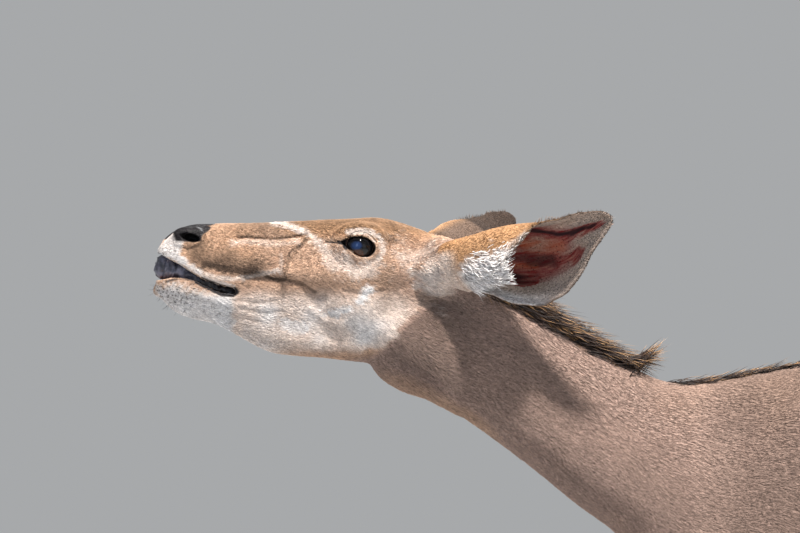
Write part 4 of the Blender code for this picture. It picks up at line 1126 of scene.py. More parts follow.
# Dark marks of the coat, and painted shade in the muzzle's crease, vein and groove, behind the nostril,
# behind the eye and under the ear.
DARK_MARK_AND_SHADE_LINES = (
    # muzzle's side
    (0.9, 0.0064, 0.6, ((0.185, -0.022), (0.168, -0.0262), (0.148, -0.0285), (0.128, -0.0278))),
    (0.58, 0.0125, 0.7, ((0.196, -0.017), (0.175, -0.02), (0.15, -0.0235), (0.126, -0.0245))),
    (0.6, 0.0028, 0.6, ((0.196, -0.0215), (0.186, -0.0275))),
    # Painted shade behind the nostril.
    (0.42, 0.011, 0.85, ((0.203, -0.011), (0.19, -0.008), (0.183, 0.003))),
    (0.12, 0.005, 0.8, ((0.15, -0.099), (0.11, -0.119), (0.07, -0.131))),  # lower jaw
    # Painted shade along the vein on the muzzle's side.
    (0.64, 0.0014, 0.7, ((0.065, 0.0107), (0.07, 0.0028), (0.075, -0.0012), (0.084, -0.0062),
        (0.0874, -0.0171), (0.089, -0.027), (0.089, -0.037))),
    # Painted shade in the groove behind the mouth's corner, in two lines.
    (0.8, 0.0024, 0.6, ((0.1128, -0.0352), (0.1049, -0.0385), (0.093, -0.0398), (0.089, -0.0375))),
    (0.52, 0.0016, 0.8, ((0.089, -0.0385), (0.075, -0.043), (0.065, -0.0462), (0.059, -0.051),
        (0.053, -0.055))),
    # Painted shade in the crease along the muzzle's upper side.
    (0.76, 0.0013, 0.6, ((0.1466, 0.0107), (0.1367, 0.0121), (0.1248, 0.0107), (0.1128, 0.0091),
        (0.1009, 0.0091), (0.089, 0.0107), (0.073, 0.0137), (0.063, 0.0157))),
    # Painted shade in the hollow behind and below the eye.
    (0.28, 0.015, 0.9, ((-0.027, -0.03), (-0.036, -0.045), (-0.035, -0.058))),  # behind the eye
    (0.44, 0.007, 0.8, ((-0.029, 0.017), (-0.039, 0.008))),
    # Painted shade at the jaw's rear, under the ear.
    (0.4, 0.01, 0.85, ((-0.078, -0.061), (-0.096, -0.071))),
    (0.16, 0.01, 0.85, ((0.13, -0.084), (0.1, -0.096), (0.095, -0.088))),
)
BLACK_SKIN_AND_SHADE_LINES = (
    (1.0, 0.0011, 0.5, ((0.042, 0.0059), (0.032, 0.0049), (0.026, 0.0051))),  # tear line
    (1.0, 0.0026, 0.4, ((0.025, 0.0052), (0.021, 0.0046), (0.018, 0.0025))),
    (1.0, 0.004, 0.4, ((0.0175, 0.004), (0.0165, 0.0))),
    # Painted shade in the fold of the upper lid.
    (0.84, 0.0009, 0.6, ((0.011, 0.015), (0.006, 0.0176), (-0.001, 0.018), (-0.008, 0.0165),
        (-0.015, 0.0122), (-0.02, 0.006))),
    (0.8, 0.0017, 0.5, ((0.232, -0.042), (0.215, -0.0372), (0.196, -0.0412))),  # lower lip's edge
    (1.0, 0.0026, 0.4, ((0.196, -0.0425), (0.179, -0.051), (0.166, -0.0572), (0.152, -0.058),
        (0.147, -0.0545), (0.15, -0.0505))),
    (0.9, 0.0016, 0.5, ((0.19, -0.0375), (0.166, -0.0465), (0.149, -0.0512))),
)
# The cheek's lower edge, forward of the eye and over it.
JAW_EDGE = ((-0.115, -0.095, -0.080, -0.062, -0.044, -0.032, -0.016, 0.004, 0.024, 0.060, 0.100),
            (-0.055, -0.062, -0.070, -0.084, -0.102, -0.118, -0.128, -0.132, -0.135, -0.143, -0.160))


def most(*layers):
    """The strongest of several layers at each place."""
    found = layers[0]
    for layer in layers[1:]:
        found = np.maximum(found, layer)
    return found


def dotted(f, h, spacing, radius, seed):
    """Small dots over the side view, about this far apart, each a little out of its row."""
    shifts = np.random.default_rng(seed).uniform(0.1, 0.9, (64, 64, 2))
    nearest = np.full(len(f), 1e9)
    i, j = np.floor(f / spacing).astype(int), np.floor(h / spacing).astype(int)
    for a in (-1, 0, 1):
        for b in (-1, 0, 1):
            along, up = shifts[(i + a) % 64, (j + b) % 64].T
            away = np.hypot(f - (i + a + along) * spacing, h - (j + b + up) * spacing)
            nearest = np.minimum(nearest, away)
    return rise(1.35 * radius, 0.65 * radius, nearest)


def painted(lines, f, h, edge=0.0):
    """How far lines of the head cover each place; the edge is a wavering of their width."""
    total = np.zeros(len(f))
    for strength, half, soft, line in lines:
        cover = rise(1 + soft, 1 - soft, off_line(line, f, h) / half + edge * soft)
        total = np.maximum(total, strength * cover)
    return total


# The mane's lower edge, along the neck and above the floor.
MANE_EDGE = ((-0.470, -0.419, -0.347, -0.264, -0.220, -0.20), (1.292, 1.267, 1.226, 1.186, 1.160, 1.150))


def mane_band(places, within=0.0):
    """Where the mane grows: a band over the nape, down to a line on each side of the neck, then the withers'
    crest."""
    x, y, z = from_withers(places)
    side = np.abs(y)
    low = np.interp(x, *MANE_EDGE) + within + 0.004 * ripple(places, 0.030, 51)
    neck = rise(low - 0.004, low + 0.006 + within, z) * rise(-0.475, -0.455, x) * rise(-0.252, -0.266, x)
    neck *= rise(0.064, 0.052, side)
    crest = rise(0.015, 0.009, side) * rise(-0.24, -0.20, x) * rise(0.30, 0.20, x) * (z > 1.1)
    return np.maximum(neck, 0.8 * crest)


def head_white(places, f, h, side, edge, jaw, chin):
    """Chevron, lines and spots, among them painted highlights; chin, cheek and lips, the cheek less white
    towards its rear as painted shade.
    """
    on_side = rise(0.004, 0.014, side)
    crown = rise(-0.040, -0.066, f) * rise(0.046, 0.030, side)
    lines = painted(WHITE_MARK_AND_HIGHLIGHT_LINES, f, h, edge) * on_side * (1 - 0.9 * crown)
    cheek = rise(0.168, 0.136, f) * rise(-0.040, -0.075, h)
    cheek *= rise(-0.136, -0.112, h + 0.15 * np.maximum(f - 0.06, 0))
    cheek *= rise(jaw - 0.007, jaw + 0.007, h + 0.004 * ripple(places, 0.020, 8))
    # Painted shade: the cheek is less white towards its rear.
    cheek *= 1 - 0.45 * rise(-0.040, -0.062, f)
    cheek *= 0.60 + 0.12 * rise(0.060, 0.000, f) * rise(-0.070, -0.095, h) + 0.10 * rise(0.09, 0.12, f)
    cheek *= 1 + 0.16 * ripple(places, 0.040, 7)
    lip_front = rise(0.232, 0.238, f) * rise(0.001, -0.005, h) * rise(-0.034, -0.024, h)
    above_lip = rise(0.210, 0.216, f + 0.3 * h) * on_side * rise(0.019, 0.014, h) * rise(-0.016, -0.010, h)
    chevron = painted([CHEVRON], f, h, edge)
    white = most(chevron, lines, 0.90 * chin, cheek, 0.90 * lip_front, 0.85 * above_lip)
    return white * rise(-0.150, -0.075, f) * (1 + 0.08 * ripple(places, 0.05, 5))


def head_dark(places, f, h, side, edge, chin, white, below_jaw):
    """Dark lines, among them painted shade in creases and hollows; brow, the dots of chin and lip, and
    painted shade under the jaw.
    """
    head, on_side = rise(-0.150, -0.075, f), rise(0.004, 0.014, side)
    lines = painted(DARK_MARK_AND_SHADE_LINES, f, h, edge) * head * on_side * (1 - 0.6 * rise(0.5, 0.9, white))
    brow = rise(0.008, 0.026, h) * rise(0.180, 0.120, f) * head * (1 - rise(0.3, 0.6, white))
    chin_dots = rise(0.190, 0.198, f) * rise(-0.041, -0.045, h) * rise(-0.072, -0.066, h)
    lip_dots = rise(0.212, 0.218, f) * rise(-0.018, -0.014, h) * rise(0.004, 0.000, h)
    dots = most(
        dotted(f, h, 0.0041, 0.00090, 61) * np.maximum(chin_dots, 0.8 * lip_dots),
        0.8 * dotted(f, h, 0.011, 0.0011, 62) * chin * (1 - chin_dots),
    )
    lip = rise(0.188, 0.200, f) * rise(-0.036, -0.028, h) * rise(0.7, 0.9, white)
    brow_shade = 0.50 + 0.08 * ripple(places, 0.02, 17)
    return most(lines, brow_shade * brow, 0.92 * dots * on_side, 0.24 * lip, 0.22 * below_jaw)


def head_bare(places, f, h, side):
    """Bare, black skin: round the lids, between the lips, and the pad of the nose with its groove; and a line
    of painted shade in the upper lid's fold.
    """
    lines = painted(BLACK_SKIN_AND_SHADE_LINES, f, h) * rise(-0.150, -0.075, f) * rise(0.010, 0.016, side)
    rear = np.interp(h, (0.0077, 0.013, 0.020, 0.028), (0.1915, 0.1890, 0.1800, 0.1740))
    rear = rear + 0.0016 * ripple(places, 0.02, 6)
    low = 0.0048 + 0.10 * np.maximum(f - 0.20, 0) + 0.16 * np.maximum(0.20 - f, 0)
    front = 0.219 + 0.39 * (h - 0.0048)
    pad = rise(rear - 0.0015, rear + 0.0015, f) * rise(low - 0.0012, low + 0.0012, h)
    pad *= 1 - rise(0.010, 0.013, side) * rise(front - 0.001, front + 0.003, f)
    philtrum = rise(0.228, 0.236, f) * rise(0.0042, 0.0028, side) * rise(-0.014, -0.008, h)
    reach = np.min([np.linalg.norm(places - np.array(EYE_AT[s]), axis=1) for _, s in SIDES], axis=0)
    lid = np.min([np.hypot(f - a, h - b) for a, b in LID_EDGE], axis=0)
    lids = rise(0.0022, 0.0010, lid) * (reach < EYE_RADIUS + 0.012)
    return np.where(reach < EYE_RADIUS + 0.0012, 1.0, most(lines, pad, philtrum, lids))


def head_marks(places, f, h, side):
    """White, dark, warm and bare places of the head."""
    edge = 0.55 * ripple(places, 0.006, 3) + 0.45 * ripple(places, 0.018, 4)
    jaw = np.interp(f, *JAW_EDGE)
    chin = rise(0.138, 0.160, f) * rise(-0.050, -0.062, h)
    # below_jaw: painted shade under the jaw, which darkens it and makes it less warm.
    below_jaw = rise(jaw + 0.004, jaw - 0.008, h) * rise(0.070, 0.020, f)
    white = head_white(places, f, h, side, edge, jaw, chin)
    dark = head_dark(places, f, h, side, edge, chin, white, below_jaw)
    warm = 0.48 + 0.30 * rise(0.000, 0.022, h) * rise(0.115, 0.060, f) - 0.30 * below_jaw
    warm += 0.10 * rise(0.10, 0.14, f) * rise(-0.030, -0.010, h)
    warm -= 0.12 * rise(-0.02, -0.06, f) * rise(0.0, -0.04, h)
    return white, dark, warm * rise(-0.150, -0.075, f), head_bare(places, f, h, side)


# Streaks inside the ear: strength, half width, how softly it ends, and places along it and round its wall.
EAR_ROUND = 0.042                        # turns an angle round the wall into a length
RED_STREAKS = (
    (1.0, 0.008, 0.9, ((0.5, -0.62), (0.64, -0.3), (0.75, -0.05), (0.88, 0.22))),
    (1.0, 0.009, 0.9, ((0.28, -0.15), (0.42, 0.04), (0.56, 0.22), (0.7, 0.42))),
    (1.0, 0.008, 0.9, ((0.2, 0.38), (0.34, 0.43), (0.47, 0.44))),
    (1.0, 0.013, 0.8, ((0.16, -0.8), (0.34, -0.62), (0.5, -0.45))),
    (0.9, 0.013, 0.9, ((0.2, -0.2), (0.34, 0.1), (0.44, 0.2))),
)
# Black streaks in the cup. The first, under the upper rim, is a painted shadow of the rim.
BLACK_AND_SHADOW_STREAKS = (
    (1.0, 0.0036, 0.9, ((0.5, -0.88), (0.6, -0.6), (0.72, -0.31), (0.85, -0.03))),
    (0.62, 0.0056, 1.0, ((0.3, -0.04), (0.42, 0.1), (0.54, 0.26))),
    (0.85, 0.0044, 1.0, ((0.2, 0.44), (0.32, 0.52), (0.42, 0.5))),
    (1.0, 0.013, 0.9, ((0.1, -0.4), (0.26, -0.3))),
    (0.7, 0.004, 0.9, ((0.3, 0.62), (0.4, 0.62))),
)
# Painted light: streaks in the cup where light would shine through the ear.
PAINTED_GLOW_STREAKS = (
    (1.0, 0.008, 0.9, ((0.42, -0.4), (0.52, -0.24), (0.62, -0.08))),
    (0.9, 0.003, 0.9, ((0.28, 0.16), (0.36, 0.2), (0.43, 0.24))),
)


def ear_streaks(streaks, u, angle, edge=0.0):
    lines = [(strength, half, soft, [(EAR_LENGTH * a, EAR_ROUND * b) for a, b in line])
             for strength, half, soft, line in streaks]
    return painted(lines, EAR_LENGTH * u, EAR_ROUND * angle, edge)


def ear_front(u, angle, waver):
    """The ear's white front wall, under a slanting border."""
    border = np.interp(u, (0.05, 0.17, 0.24, 0.53, 0.60), (-2.95, -2.62, -2.42, -2.24, -1.94)) + waver
    return rise(border + 0.16, border - 0.56, angle) * rise(0.05, 0.17, u) * rise(0.68, 0.56, u)


def ear_outside(ear, u, angle, waver):
    """White, dark and warm on the ear's back: orange on top, white before the opening, dark at the tip, and
    painted shade over the far ear.
    """
    front = ear_front(u, angle, waver)
    top = rise(-0.80, -1.35, angle) * (1 - front) * rise(0.84, 0.62, u)
    back = rise(-1.5, -0.9, angle)
    cream = rise(0.20, 0.04, u) * rise(-1.9, -2.5, angle)
    white = most(0.95 * front, 0.52 * cream, 0.30 * rise(0.3, 1.2, angle) * rise(0.5, 0.2, u))
    tip = rise(0.46, 0.66, u + 0.05 * waver)
    # Painted shade on the far ear: darker all over, and its tip not lightened by the orange top.
    far = float(ear.axis.y > 0)
    dark = 0.46 * back + 0.26 * far + (0.80 + 0.12 * back) * tip * (1 - 0.5 * top * (1 - far))
    return white, np.clip(dark, 0, 0.95), 0.42 + 0.46 * top


def ear_inside(u, angle, share):
    """White, dark and pink in the ear's cup: streaked red and black, with a pale lobe and dark edges. The
    black streak under the upper rim is a painted shadow, and the cup outside the lobe is darkened as painted
    shade.
    """
    edge = 0.7 * ripple(np.stack([u * 0.12, angle * 0.09, 0 * u], 1), 0.030, 31)
    second = ripple(np.stack([u * 0.10, angle * 0.100, 0 * u], 1), 0.05, 32)
    field = 0.86 * rise(0.12, 0.22, u) * rise(0.84, 0.60, u + 0.04 * edge)
    field *= rise(-1.20, -0.80, angle) * rise(0.90, 0.45, angle) * (0.85 + 0.3 * second)
    red = most(ear_streaks(RED_STREAKS, u, angle, edge), field)
    black = ear_streaks(BLACK_AND_SHADOW_STREAKS, u, angle, edge)
    pink = np.clip(most(0.50 * red, np.where(black > 0.05, 0.5 + 0.5 * black, 0)), 0, 1)
    lobe = rise(0.75, 1.25, angle) * rise(0.60, 0.36, u)
    white = 0.34 + 0.10 * second + 0.60 * lobe + 0.10 * rise(0.3, 0.9, angle) * (1 - lobe)
    # Painted shade in the cup: dark everywhere but in the lobe.
    dark = np.clip(0.46 * (1 - lobe) + 0.12 * rise(0.86, 0.98, u) + 0.10 * second, 0, 1)
    band = rise(0.80, 0.90, -share) * rise(0.50, 0.60, u)
    return white, dark * (1 - 0.225 * band), pink * (1 - band)


EAR_SPECK, EAR_RIM_DARK = 0.75, 0.70


def ear_marks(ear, places, normals, layers):
    """The ear over the rest: its back, its cup and its dark rim."""
    white, dark, warm, bare, pink, speck = layers
    u, angle, share, inside, on = ear.measure(places, normals)
    out, lit = on & ~inside, on & inside
    back_white, back_dark, back_warm = ear_outside(ear, u, angle, 0.16 * ripple(places, 0.012, 8))
    cup_white, cup_dark, cup_pink = ear_inside(u, angle, share)
    rim = on & (np.abs(share) > 0.97) & (u > 0.40)
    white = np.select([out, lit], [back_white, cup_white], white)
    dark = np.select([rim, out, lit], [EAR_RIM_DARK, back_dark, cup_dark], dark)
    warm = np.select([out, lit], [back_warm, 0.46], warm)
    pink = np.where(lit, cup_pink, pink)
    return white, dark, warm, np.where(on, 0.0, bare), pink, np.where(lit, EAR_SPECK, speck)


def ear_map(places, normals):
    """Lengths along an ear and round its wall, for the streaks of its skin, and where painted light glows
    through.
    """
    flat = np.zeros((len(places), 3))
    for _, s in SIDES:
        u, angle, _, inside, on = EARS[s].measure(places, normals)
        painted_glow = ear_streaks(PAINTED_GLOW_STREAKS, u, angle) * inside
        flat[on] = np.stack([EAR_LENGTH * u, EAR_ROUND * angle, painted_glow], 1)[on]
    return flat


def side_stripes(places, x, y, z):
    """Nine thin white stripes down each side of the trunk."""
    trunk = rise(-0.02, 0.04, x) * rise(0.88, 0.80, x)
    wave = 0.006 * np.sin(7 * z + 40 * (y > 0)) + 0.003 * ripple(places, 0.10, 9)
    stripes = []
    for k in range(9):
        middle = 0.060 + 0.086 * k + 0.010 * sin(2.4 * k) + 0.05 * (1.05 - z)
        low = 0.84 + 0.05 * sin(1.7 * k)
        half = (0.0038 + 0.0010 * sin(3.1 * k)) * (0.55 + 0.45 * rise(low, low + 0.12, z))
        line = rise(1.5, 0.6, np.abs(x - middle + wave) / half)
        stripes.append(line * rise(low - 0.02, low + 0.07, z) * trunk)
    return most(*stripes)


def marks(places, normals):
    """What the hide is like at each place: white, dark, warm; and bare, pink, speckled."""
    f, y, h = from_eye(places)
    x, _, z = from_withers(places)
    side = np.abs(y)
    white, dark, warm, bare = head_marks(places, f, h, side)
    inner = rise(0.0, 0.7, -normals[:, 1] * np.sign(y))
    tail = (x > 0.875) & (side < 0.05)
    tip = rise(0.80, 0.74, z) * tail
    body_warm = 0.20 + 0.08 * rise(-0.15, 0.25, x) + 0.05 * ripple(places, 0.30, 21)
    throat = rise(-0.38, -0.46, x) * rise(0.050, 0.020, side) * rise(1.22, 1.17, z)
    shoulder = rise(-0.26, -0.12, x) * rise(0.30, 0.05, x) * rise(0.75, 0.95, z)
    garter = rise(0.74, 0.70, z) * rise(0.60, 0.64, z) * inner * (x < 0.2)
    pastern = rise(0.055, 0.070, z) * rise(0.120, 0.100, z) * rise(0.2, 0.6, -normals[:, 0] + 0.3)
    back_line = rise(0.008, 0.004, side) * rise(1.0, 1.06, z) * rise(0.20, 0.30, x) * rise(0.88, 0.80, x)
    belly = rise(0.78, 0.70, z) * rise(-0.10, 0.0, x) * rise(0.09, 0.02, side)
    thigh = rise(0.80, 0.74, z) * rise(0.50, 0.60, z) * inner * (x > 0.2)
    under_tail = rise(-0.2, 0.3, -normals[:, 0]) * tail * (1 - tip)
    above_hoof, tawny_leg = rise(0.062, 0.050, z), rise(0.62, 0.45, z)
    white = most(white, 0.80 * side_stripes(places, x, y, z), 0.75 * back_line, 0.40 * belly, 0.55 * thigh,
                 0.80 * pastern, 0.7 * under_tail)
    dark = most(dark, 0.46 * shoulder, 0.75 * garter, 0.55 * above_hoof, 0.88 * mane_band(places, 0.009),
                0.9 * tip)
    warm = most(warm, body_warm * rise(-0.075, -0.150, f), 0.42 * throat, 0.55 * tawny_leg)
    layers = (white, dark, warm, bare, np.zeros(len(f)), np.zeros(len(f)))
    for _, s in SIDES:
        layers = ear_marks(EARS[s], places, normals, layers)
    return np.clip(np.stack(layers[:3], 1), 0, 1), np.clip(np.stack(layers[3:], 1), 0, 1)


# ---- coat ------------------------------------------------------------------------------------------------
class Hide:
    """The skin as arrays: its triangles, their areas, and what is to grow on them."""

    def __init__(self, mesh):
        self.places, self.normals = places_of(mesh), normals_of(mesh)
        mesh.calc_loop_triangles()
        found = np.empty(len(mesh.loop_triangles) * 3, np.int32)
        mesh.loop_triangles.foreach_get("vertices", found)
        self.tris = found.reshape(-1, 3)
        a, b, c = (self.places[self.tris[:, k]] for k in range(3))
        self.middles = (a + b + c) / 3
        self.area = np.linalg.norm(np.cross(b - a, c - a), axis=1) / 2
        self.facing = unit(self.normals[self.tris].sum(1))
        self.marks, self.kind = marks(self.middles, self.facing)

    def scatter(self, per_area):
        """Places and normals, with this many to a square metre of each triangle."""
        number = np.floor(per_area * self.area + draw.random(len(self.area))).astype(int)
        which = np.repeat(np.arange(len(number)), number)
        a, b = draw.random((2, len(which)))
        flip = a + b > 1
        a[flip], b[flip] = 1 - a[flip], 1 - b[flip]
        share = np.stack([a, b, 1 - a - b], 1)[:, :, None]
        corners = self.tris[which]
        return (self.places[corners] * share).sum(1), unit((self.normals[corners] * share).sum(1))


def lie(places, normals):
    """The way that the hair lies, along the skin."""
    x, _, z = from_withers(places)
    f, _, h = from_eye(places)
    way = np.tile(np.array([1.0, 0.0, -0.30]), (len(places), 1))
    turns = (
        (rise(-0.12, -0.30, x), 1.0, -0.62),
        (rise(-0.46, -0.54, x), 1.0, -0.22),
        (rise(0.02, 0.10, f), 1.0, 0.04),
        (rise(0.03, 0.00, f) * rise(-0.03, -0.09, h) * rise(-0.14, -0.06, f), 1.0, -0.5),
        (rise(0.80, 0.62, z) * (x > -0.25), 0.12, -1.0),
        (rise(0.865, 0.885, x) * (z > 0.6), 0.1, -1.0),
    )
    for weight, back, up in turns:
        way = way * (1 - weight[:, None]) + weight[:, None] * np.array([back, 0.0, up])
    fine, broad = (
        np.stack([ripple(places, size, seed + k) for k in range(3)], 1)
        for size, seed in ((0.030, 11), (0.110, 14))
    )
    way += 0.20 * np.where((x < -0.46)[:, None], fine, broad)
    for _, s in SIDES:
        *_, on = EARS[s].measure(places, normals)
        way = np.where(on[:, None], np.array(EARS[s].axis) + 0.15 * fine, way)
    return square_to(way, normals)


PATCH = 0.003                            # how much of the bake's map a tuft takes


# The height of the middle of head, neck and trunk, along the body.
MIDDLE_HEIGHT = ((-0.84, -0.60, -0.50, -0.36, -0.20, 0.0, 0.83), (1.30, 1.28, 1.23, 1.15, 1.04, 0.95, 0.98))


def unwrapped(places):
    """Along the body and round it: the hide laid flat. Each leg has its own strip under the trunk's."""
    x, y, z = from_withers(places)
    centre = np.interp(x, *MIDDLE_HEIGHT)
    round_ = np.arctan2(y, z - centre) / (2 * pi) + 0.5
    along = x.copy()
    for strip, (hind, side) in enumerate(((True, -1), (True, 1), (False, -1), (False, 1))):
        one = (z < 0.66) & ((x > 0.35) == hind) & (y * side > 0)
        if not one.any():
            continue
        slot = np.digitize(z[one], np.linspace(0, 0.70, 30))
        mx, my = (
            np.array([v[one][slot == k].mean() if (slot == k).any() else 0 for k in range(32)])[slot]
            for v in (x, y)
        )
        turn = np.arctan2(y[one] - my, x[one] - mx) / (2 * pi) + 0.5
        along[one] = 0.95 + z[one]
        round_[one] = (strip + 0.05 + 0.9 * turn) / 4
    return np.stack([along, round_], 1)


def ear_unwrapped(places, normals):
    """Along the ear and round its curl, with the two ears and their two faces side by side."""
    flat = np.zeros((len(places), 2))
    for strip, (_, s) in enumerate(SIDES):
        u, angle, share, inside, on = EARS[s].measure(places, normals)
        flat[on] = np.stack([u, (strip * 2 + inside + 0.5 + 0.42 * np.clip(share, -1, 1)) / 4], 1)[on]
    return flat


def hair_mesh(name, verts, faces, along, patch, marks_of, vary, flat, material, smooth=False):
    """One joined mesh of tufts, whose vertices all lie along it as given. The patch gives them their places
    in the tuft's own bit of the bake's map."""
    per = len(along)
    count = len(verts)
    verts = verts.reshape(-1, 3)
    faces = (np.arange(count)[:, None, None] * per + faces).reshape(-1, 3)
    mesh = bpy.data.meshes.new(name)
    mesh.vertices.add(len(verts))
    mesh.vertices.foreach_set("co", verts.astype(np.float32).ravel())
    mesh.loops.add(len(faces) * 3)
    mesh.polygons.add(len(faces))
    mesh.loops.foreach_set("vertex_index", faces.astype(np.int32).ravel())
    mesh.polygons.foreach_set("loop_start", np.arange(0, len(faces) * 3, 3, dtype=np.int32))
    mesh.polygons.foreach_set("use_smooth", np.full(len(faces), smooth))
    mesh.update(calc_edges=True)
    carry(mesh, "hair", np.stack([np.tile(along, count), np.repeat(vary, per), np.zeros(count * per)], 1))
    carry(mesh, "marks", np.repeat(marks_of, per, axis=0))
    low, high = flat.min(0), flat.max(0)
    corner = (flat - low) / np.maximum(high - low, 1e-9) * (1 - 2 * PATCH) + PATCH / 2
    uv = np.repeat(corner, per, axis=0) + np.tile(patch, (count, 1)) * PATCH
    layer = mesh.uv_layers.new(name="OFBake")
    layer.data.foreach_set("uv", uv[faces.ravel()].astype(np.float32).ravel())
    mesh.materials.append(material)
    obj = link(bpy.data.objects.new(name, mesh))
    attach(obj, "root")


SPIKE_FACES = np.array([[0, 3, 2], [1, 2, 3], [0, 1, 3], [0, 2, 1]])
SPIKE_ALONG = np.array([0.0, 0.0, 0.15, 1.0])
SPIKE_PATCH = np.array([[0.0, 0.0], [1.0, 0.0], [0.5, 0.2], [0.5, 1.0]])
MOST_SPIKES = 47000                      # to a piece, which keeps it under 200,000 triangles


def spikes(name, roots, normals, ways, length, width, lift, material, flat):
    """Closed, flat spikes lying along the skin, in pieces of less than the most that one may hold."""
    marks_of, _ = marks(roots + draw.normal(size=roots.shape) * 0.0008, normals)
    vary = draw.random(len(roots))
    pieces = max(1, -(-len(roots) // MOST_SPIKES))
    for k, chosen in enumerate(np.array_split(np.argsort(flat[:, 0]), pieces)):
        n, way = normals[chosen], ways[chosen]
        long_, wide, up = (v[chosen][:, None] for v in (length, width, lift))
        half_side = unit(np.cross(n, way)) * wide / 2
        root = roots[chosen] - n * wide * 0.30
        tip = roots[chosen] + (way * np.cos(up) + n * np.sin(up)) * long_
        verts = np.stack([root - half_side, root + half_side, root + n * wide * 0.65, tip], 1)
        hair_mesh(f"{name}_{k + 1}" if pieces > 1 else name, verts, SPIKE_FACES, SPIKE_ALONG, SPIKE_PATCH,
                  marks_of[chosen], vary[chosen], flat[chosen], material)


def spread(value, count):
    """A number for each: drawn evenly where a range is given."""
    return draw.uniform(*value, count) if isinstance(value, tuple) else np.broadcast_to(value, count)


def strand_faces(stages):
    """The faces of a strand of three sides, closed at its root and pointed at its tip."""
    faces = [[0, 2, 1]]
    for i in range(stages - 1):
        for a, b in ((0, 1), (1, 2), (2, 0)):
            p, q = i * 3 + a, i * 3 + b
            faces += [[p, q, q + 3], [p, q + 3, p + 3]]
    last, tip = (stages - 1) * 3, stages * 3
    return np.array(faces + [[last, last + 1, tip], [last + 1, last + 2, tip], [last + 2, last, tip]])


def strands(name, roots, normals, ways, length, width, lift, bend, sway, material, flat, stages=5):
    """Long, tapered strands that lift from the skin and bend along their length. Width, lift, bend and sway
    are numbers, or ranges to draw from."""
    marks_of, _ = marks(roots, normals)
    count = len(roots)
    width, lift, bend, sway = (spread(value, count) for value in (width, lift, bend, sway))
    side = unit(np.cross(normals, ways))
    steps = np.linspace(0, 1, stages + 1)
    rows = []
    for t in steps:
        here = roots + ways * (length * t)[:, None] + normals * (length * (lift * t + bend * t * t))[:, None]
        here = here + side * (length * sway * t * t)[:, None] - normals * (0.0010 * (t == 0))
        wide = (width * (1 - 0.70 * t**1.5))[:, None]
        ring = [here - side * wide / 2, here + side * wide / 2, here + normals * wide * 0.45]
        rows += ring if t < 1 else [here]
    along = np.append(np.repeat(steps[:-1], 3), 1.0)
    patch = np.stack([np.append(np.tile((0.0, 1.0, 0.5), stages), 0.5), along], 1)
    hair_mesh(name, np.stack(rows, 1), strand_faces(stages), along, patch, marks_of, draw.random(count), flat,
              material, smooth=True)


def region_of(hide):
    """Which part of the animal each triangle is on."""
    x, y, z = from_withers(hide.middles)
    ear = np.zeros(len(x), bool)
    for _, s in SIDES:
        u, *_, on = EARS[s].measure(hide.middles, hide.facing)
        ear |= on & (u > 0.10)
    head = (x < -0.50) & ~ear
    neck = (x >= -0.50) & (x < -0.20) & ~ear
    tail = (x > 0.880) & (z < 1.06) & (np.abs(y) < 0.05)
    legs = (z < 0.62) & ~(ear | tail)
    trunk = ~(ear | head | neck | legs | tail)
    return {"ear": ear, "head": head, "neck": neck, "legs": legs, "tail": tail, "trunk": trunk}


# The short coat: name, slot, region, tufts to a square metre, length, width and lift.
COATS = (
    ("coat_trunk", "coat", "trunk", 37e3, 0.0100, 0.0020, 0.12),
    ("coat_neck", "neck_coat", "neck", 320e3, 0.0050, 0.00085, 0.15),
    ("coat_legs", "leg_coat", "legs", 72e3, 0.0070, 0.0017, 0.10),
    ("coat_head", "head_coat", "head", 560e3, 0.0036, 0.00075, 0.17),
    ("coat_ears", "ear_coat", "ear", 260e3, 0.0040, 0.00080, 0.09),
)


def add_coat(hide, coat):
    """Denser and finer over muzzle and shoulder, and none in the ears' cups or on bare skin."""
    on = region_of(hide)
    furred = rise(0.30, 0.08, hide.kind[:, 0])
    f, x = from_eye(hide.middles)[0], from_withers(hide.middles)[0]
    denser = {
        "head": (1.0 + 0.5 * rise(0.08, 0.20, f)) * (1 - 0.45 * rise(-0.06, -0.10, f)),
        "ear": rise(0.30, 0.02, hide.kind[:, 1]),
        "trunk": 1 + 4.6 * rise(0.06, -0.12, x),
    }
    for name, slot, region, per_area, long_, wide, lift in COATS:
        roots, normals = hide.scatter(per_area * on[region] * furred * denser.get(region, 1))
        count = len(roots)
        length = long_ * draw.uniform(0.65, 1.30, count)
        width = wide * draw.uniform(0.75, 1.25, count)
        lifts = lift * draw.uniform(0.4, 1.8, count)
        if region == "head":
            forward = EYE.x - roots[:, 0]
            longer = 1.0 + 0.9 * rise(-0.03, -0.09, forward) - 0.40 * rise(0.12, 0.21, forward)
            length, width = length * longer, width * (0.6 + 0.4 * longer)
        if region == "trunk":
            finer = rise(0.06, -0.12, roots[:, 0] - WITHERS.x)
            length, width = length * (1 - 0.48 * finer), width * (1 - 0.54 * finer)
        flat = ear_unwrapped(roots, normals) if region == "ear" else unwrapped(roots)
        spikes(name, roots, normals, lie(roots, normals), length, width, lifts, coat, flat)


